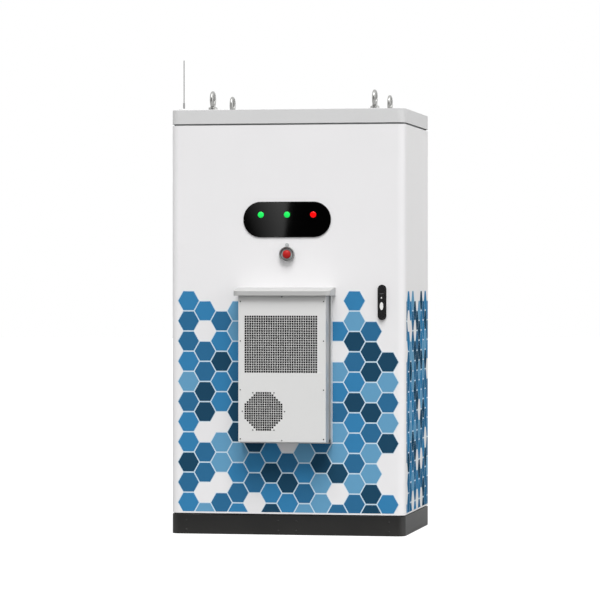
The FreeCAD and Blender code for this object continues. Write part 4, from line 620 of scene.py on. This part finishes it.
def make_cooler_flange():
    """The cooler's wider rear flange on the door, with a grey gasket between it and the cover."""
    parts = []
    for index, (reach, near, far, low) in enumerate(((231.7, 427, 468, 465.5), (231, 468, 471, 476))):
        bars = bmesh.new()
        middle, tall = (FLANGE_TOP + low) / 2, FLANGE_TOP - low
        edge = FLANGE_WIDE / 2
        for x, z, wide, long in ((reach - edge, middle, FLANGE_WIDE, tall),
                                 (edge - reach, middle, FLANGE_WIDE, tall),
                                 (0, low + edge, 2 * reach, FLANGE_WIDE)):
            for face in block(bars, (x, -(near + far) / 2, z), (wide, far - near, long)):
                face.material_index = index
        parts.append(bars)
    round_edges(parts[0], parts[0].edges[:], 1 * MM)
    finish_piece("cooler_rear_flange", join(parts), "door", [cooler_coat, guard_grey])


# Small hardware, in millimetres

EYE_X, EYE_Y, EYE_SEAT, EYE_RING = 420, 250, 2160, 2211.5
RING_RADIUS, BAR_RADIUS = 35, 9
LAMP_X, LAMP_Z, LAMP_PANEL_THICK = 134.5, 1617, 6
STOP_Z, LUG_Z = 1417, 1465.5
HANDLE_X, HANDLE_FACE = 485, -443.6
CAP_Z, RIVET_Z, STRAP_Z = 1156, 1197, 1187


def screw(x, z, face, radius):
    """A pan head with a recess, on a face that looks to the front."""
    head = [(0, 0), (radius, 0), (radius, 0.9), (radius * 0.75, 1.9), (radius * 0.45, 2.2),
            (radius * 0.42, 1.0), (0, 1.0)]
    return turned(head, (x * MM, face, z * MM), TO_FRONT, SMALL_STEPS)


def make_screws():
    """Screws round the cooler's cover and its fan grille, and low on the plinth."""
    spots = [(x, z) for x in (-212, 212) for z in (1180, 982, 737, 491)] + [(0, 1203), (0, 484)]
    spots += [(FAN_X + 108 * math.cos(math.radians(a)), FAN_Z + 108 * math.sin(math.radians(a)))
              for a in (0, 60, 120, 180, 240, 300)]
    finish_piece("cooler_screws", join([screw(x, z, COVER_FACE, 3.4) for x, z in spots]), "door",
                 [screw_dark], weighted=False)
    spots = [(x, z) for x in (-520, -46, 46, 520) for z in (21, 70)]
    finish_piece("plinth_screws", join([screw(x, z, FRONT, 4.5) for x, z in spots]), "cabinet",
                 [plinth_coat], weighted=False)


def make_eyes():
    """Forged eye bolts: round ring, waisted neck and collar."""
    neck = [(0, 0), (23, 0), (23, 9), (21, 12), (14, 13), (12.5, 18), (13.5, 22), (0, 22)]
    parts = []
    for x in (-EYE_X, EYE_X):
        for y in (-EYE_Y, EYE_Y):
            parts.append(turned(neck, (x * MM, y * MM, EYE_SEAT * MM)))
            ring = bmesh.new()
            bmesh.ops.create_circle(ring, cap_ends=False, segments=14, radius=BAR_RADIUS * MM,
                                    matrix=Matrix.Translation((RING_RADIUS * MM, 0, 0)) @ TO_FRONT)
            bmesh.ops.spin(ring, geom=ring.verts[:] + ring.edges[:], axis=(0, 0, 1), cent=(0, 0, 0),
                           steps=40, angle=2 * math.pi, use_merge=True, dvec=(0, 0, 0))
            bmesh.ops.recalc_face_normals(ring, faces=ring.faces)
            place = Matrix.Translation((x * MM, y * MM, EYE_RING * MM)) @ TO_RIGHT
            bmesh.ops.transform(ring, matrix=place, verts=ring.verts)
            parts.append(ring)
    finish_piece("forged_lifting_eyes", join(parts), "cabinet", [forged_steel],
                 ("lifting_eyes",), smooth=50)


def make_lamps():
    """Domed lenses on the glossy panel."""
    face = FRONT - LAMP_PANEL_THICK * MM
    dome = [(0, 0), (15.4, 0), (15.4, 1.6), (14.2, 2.4), (12.6, 3.6), (9, 4.7), (5, 5), (0, 5)]
    for node_name, name, xs, material in (
            ("green_lamps", "green_lamp_lenses", (-LAMP_X, 0), green_lens),
            ("red_lamp", "red_lamp_lens", (LAMP_X,), red_lens)):
        domes = [turned(dome, (x * MM, face, LAMP_Z * MM), TO_FRONT) for x in xs]
        stand_in_for(node_name, name, join(domes), [material])


def make_stop_button():
    """Mushroom head on its stem, with the rolled edge and shallow crown of a moulded cap."""
    head = [(0, -24), (8, -24), (8, 14), (21, 14), (21.3, 15), (21.3, 17.5), (20, 20.5), (16.5, 24),
            (11, 26.6), (5, 27.7), (0, 28)]
    stand_in_for("stop_button", "stop_mushroom", turned(head, (0, FRONT, STOP_Z * MM), TO_FRONT),
                 [stop_red])


def make_stop_guard():
    """Funnel-shaped guard ring with a lug above it, and the switch's collar inside."""
    centre = (0, FRONT, STOP_Z * MM)
    ring = turned([(31, 0), (39, 0), (39, 20), (38.4, 22.6), (37, 24), (36, 23.4), (31.5, 9), (31, 0)],
                  centre, TO_FRONT, RING_STEPS)
    lug = turned([(0, 0), (9.5, 0), (9.5, 6), (8.7, 7), (0, 7)], (0, FRONT, LUG_Z * MM), TO_FRONT, 32)
    for face in lug.faces:
        face.material_index = 1
    stand_in_for("stop_button_guard", "stop_guard_ring", join([ring, lug]), [guard_grey, switch_grey])
    collar = turned([(0, -30), (11, -30), (11, 0), (30, 0), (30, 8), (29, 9.5), (9, 9.5), (0, 9.5)],
                    centre, TO_FRONT, RING_STEPS)
    stand_in_for("stop_switch", "stop_switch_collar", collar, [switch_grey])


def make_rear_screws():
    """Flush screws round the rear panel."""
    spots = [(x, z) for x in (-468, 468) for z in range(150, 2050, 270)]
    spots += [(x, z) for x in (-234, 0, 234) for z in (122, 2054)]
    head = [(0, 0), (4.5, 0), (4.5, 0.8), (3.4, 1.8), (1.9, 2.0), (1.8, 1.0), (0, 1.0)]
    heads = [turned(head, (x * MM, BACK, z * MM), TO_BACK, SMALL_STEPS) for x, z in spots]
    finish_piece("rear_panel_screws", join(heads), "cabinet", [zinc_plated],
                 weighted=False)


def make_key_cover():
    """Bright oval cap with a dished grip, on a dark strap with a rivet."""
    x, face = HANDLE_X * MM, HANDLE_FACE * MM
    oval = turned([(0, 0), (9, 0), (9, 1.2), (8, 2.2), (6.2, 2.5), (5.2, 1.9), (0, 1.7)],
                  (0, 0, 0), TO_FRONT)
    stretch = Matrix.Translation((x, face, CAP_Z * MM)) @ Matrix.Diagonal((1, 1, 20 / 9, 1))
    bmesh.ops.transform(oval, matrix=stretch, verts=oval.verts)
    rivet = turned([(0, 0), (3.4, 0), (3.4, 1.8), (2.4, 2.5), (0, 2.6)], (x, face, RIVET_Z * MM),
                   TO_FRONT, 24)
    strap = bmesh.new()
    block(strap, (HANDLE_X, HANDLE_FACE - 0.7, STRAP_Z), (9, 1.4, 30))
    round_edges(strap, strap.edges[:], 0.5 * MM)
    for side in strap.faces:
        side.material_index = 1
    stand_in_for("key_cover", "key_cap_and_strap", join([oval, rivet, strap]), [die_cast, handle_black])


def make_antenna_foot():
    """A rounded foot, as tall as the plain one that it stands for."""
    low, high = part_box("antenna_foot")
    centre = ((low[0] + high[0]) / 2, (low[1] + high[1]) / 2, low[2])
    tall = (high[2] - low[2]) / MM
    foot = turned([(0, 0), (25, 0), (25, tall * 0.45), (23.5, tall * 0.75), (19, tall * 0.93),
                   (12, tall), (0, tall)], centre)
    stand_in_for("antenna_foot", "antenna_foot_dome", foot, [mast_white])


# Dressing

DOOR_EDGE, DOOR_LIFT = 0.11, 0.4 * MM  # the door's lower edge clears the rubber strip as it swings
INSIDE_SHADE_X, INSIDE_SHADE_Z, INSIDE_SHADE_Y = 0.2125, (0.4845, 1.2195), FRONT - 1.2 * MM  # inner faces of the cooler, which take the black painted shade
SOFTENED = (  # node, rounding in millimetres, material, segments
    ("door_outer_panel", 2.5, door_coat, 2),
    ("right_side_panel", 1.5, side_coat, 2),
    ("left_side_panel", 1.5, side_coat, 2),
    ("roof_cap", 3.5, roof_coat, 3),
    ("plinth_skirts", 2.5, plinth_coat, 2),
    ("ac_rain_hood", 2, hood_coat, 2),
    ("ac_base", 1.5, cooler_coat, 2),
    ("lamp_panel", 1.5, gloss_black, 2),
    ("handle_plate", 2.4, handle_black, 3),
    ("handle_hub", 1.5, handle_black, 2),
    ("swing_lever", 4, handle_black, 5),
)
PLAIN = (
    (galvanised, ("floor_plate", "gland_plate", "roof_deck", "corner_posts", "cross_rails",
                  "roof_bearers", "rack_uprights", "rack_shelf_rails", "mounting_panel",
                  "door_hat_bars", "lock_rod_guides")),
    (zinc_plated, ("module_handles", "hinge_brackets", "hinge_pins", "hinge_leaves", "lock_pinion",
                   "lock_rod_upper", "lock_rod_lower")),
    (side_coat, ("rear_panel", "door_inner_panel")),
    (plinth_coat, ("plinth_frame",)),
    (seal_rubber, ("plinth_rubber_strips", "door_seal")),
    (case_plastic, ("battery_module_1", "battery_module_2", "battery_module_3", "battery_module_4",
                    "battery_module_5", "battery_control_unit", "power_converter")),
    (fan_black, ("cable_entry_frames", "ac_fan_motors", "ac_outer_fan", "ac_inner_fan")),
    (coil_painted_shade, ("ac_condenser_coil",)),
    (switch_grey, ("main_breaker",)),
    (handle_black, ("breaker_lever",)),
    (mast_dark, ("antenna_whip",)),
    (bottle_red, ("fire_suppressant_bottle",)),
)

for make in (make_camera, make_floor, make_card, make_light, make_films, make_cooler_cover, make_screws,
             make_eyes, make_lamps, make_stop_button, make_stop_guard, make_cooler_flange,
             make_rear_screws, make_key_cover, make_antenna_foot):
    make()

dressed = {row[0]: softened(*row) for row in SOFTENED}
for vertex in dressed["door_outer_panel"].data.vertices:
    if vertex.co.z < DOOR_EDGE:
        vertex.co.z += DOOR_LIFT
base = dressed["ac_base"].data
# the base's faces inside the cooler are painted black as shade behind the grilles
base.materials.append(cooler_inside_painted_shade)
for face in base.polygons:
    x, y, z = face.center
    if abs(x) < INSIDE_SHADE_X and INSIDE_SHADE_Z[0] < z < INSIDE_SHADE_Z[1] and y < INSIDE_SHADE_Y:
        face.material_index = 1

for material, names in PLAIN:
    for name in names:
        slots = nodes[name].data.materials
        slots.clear()
        slots.append(material)
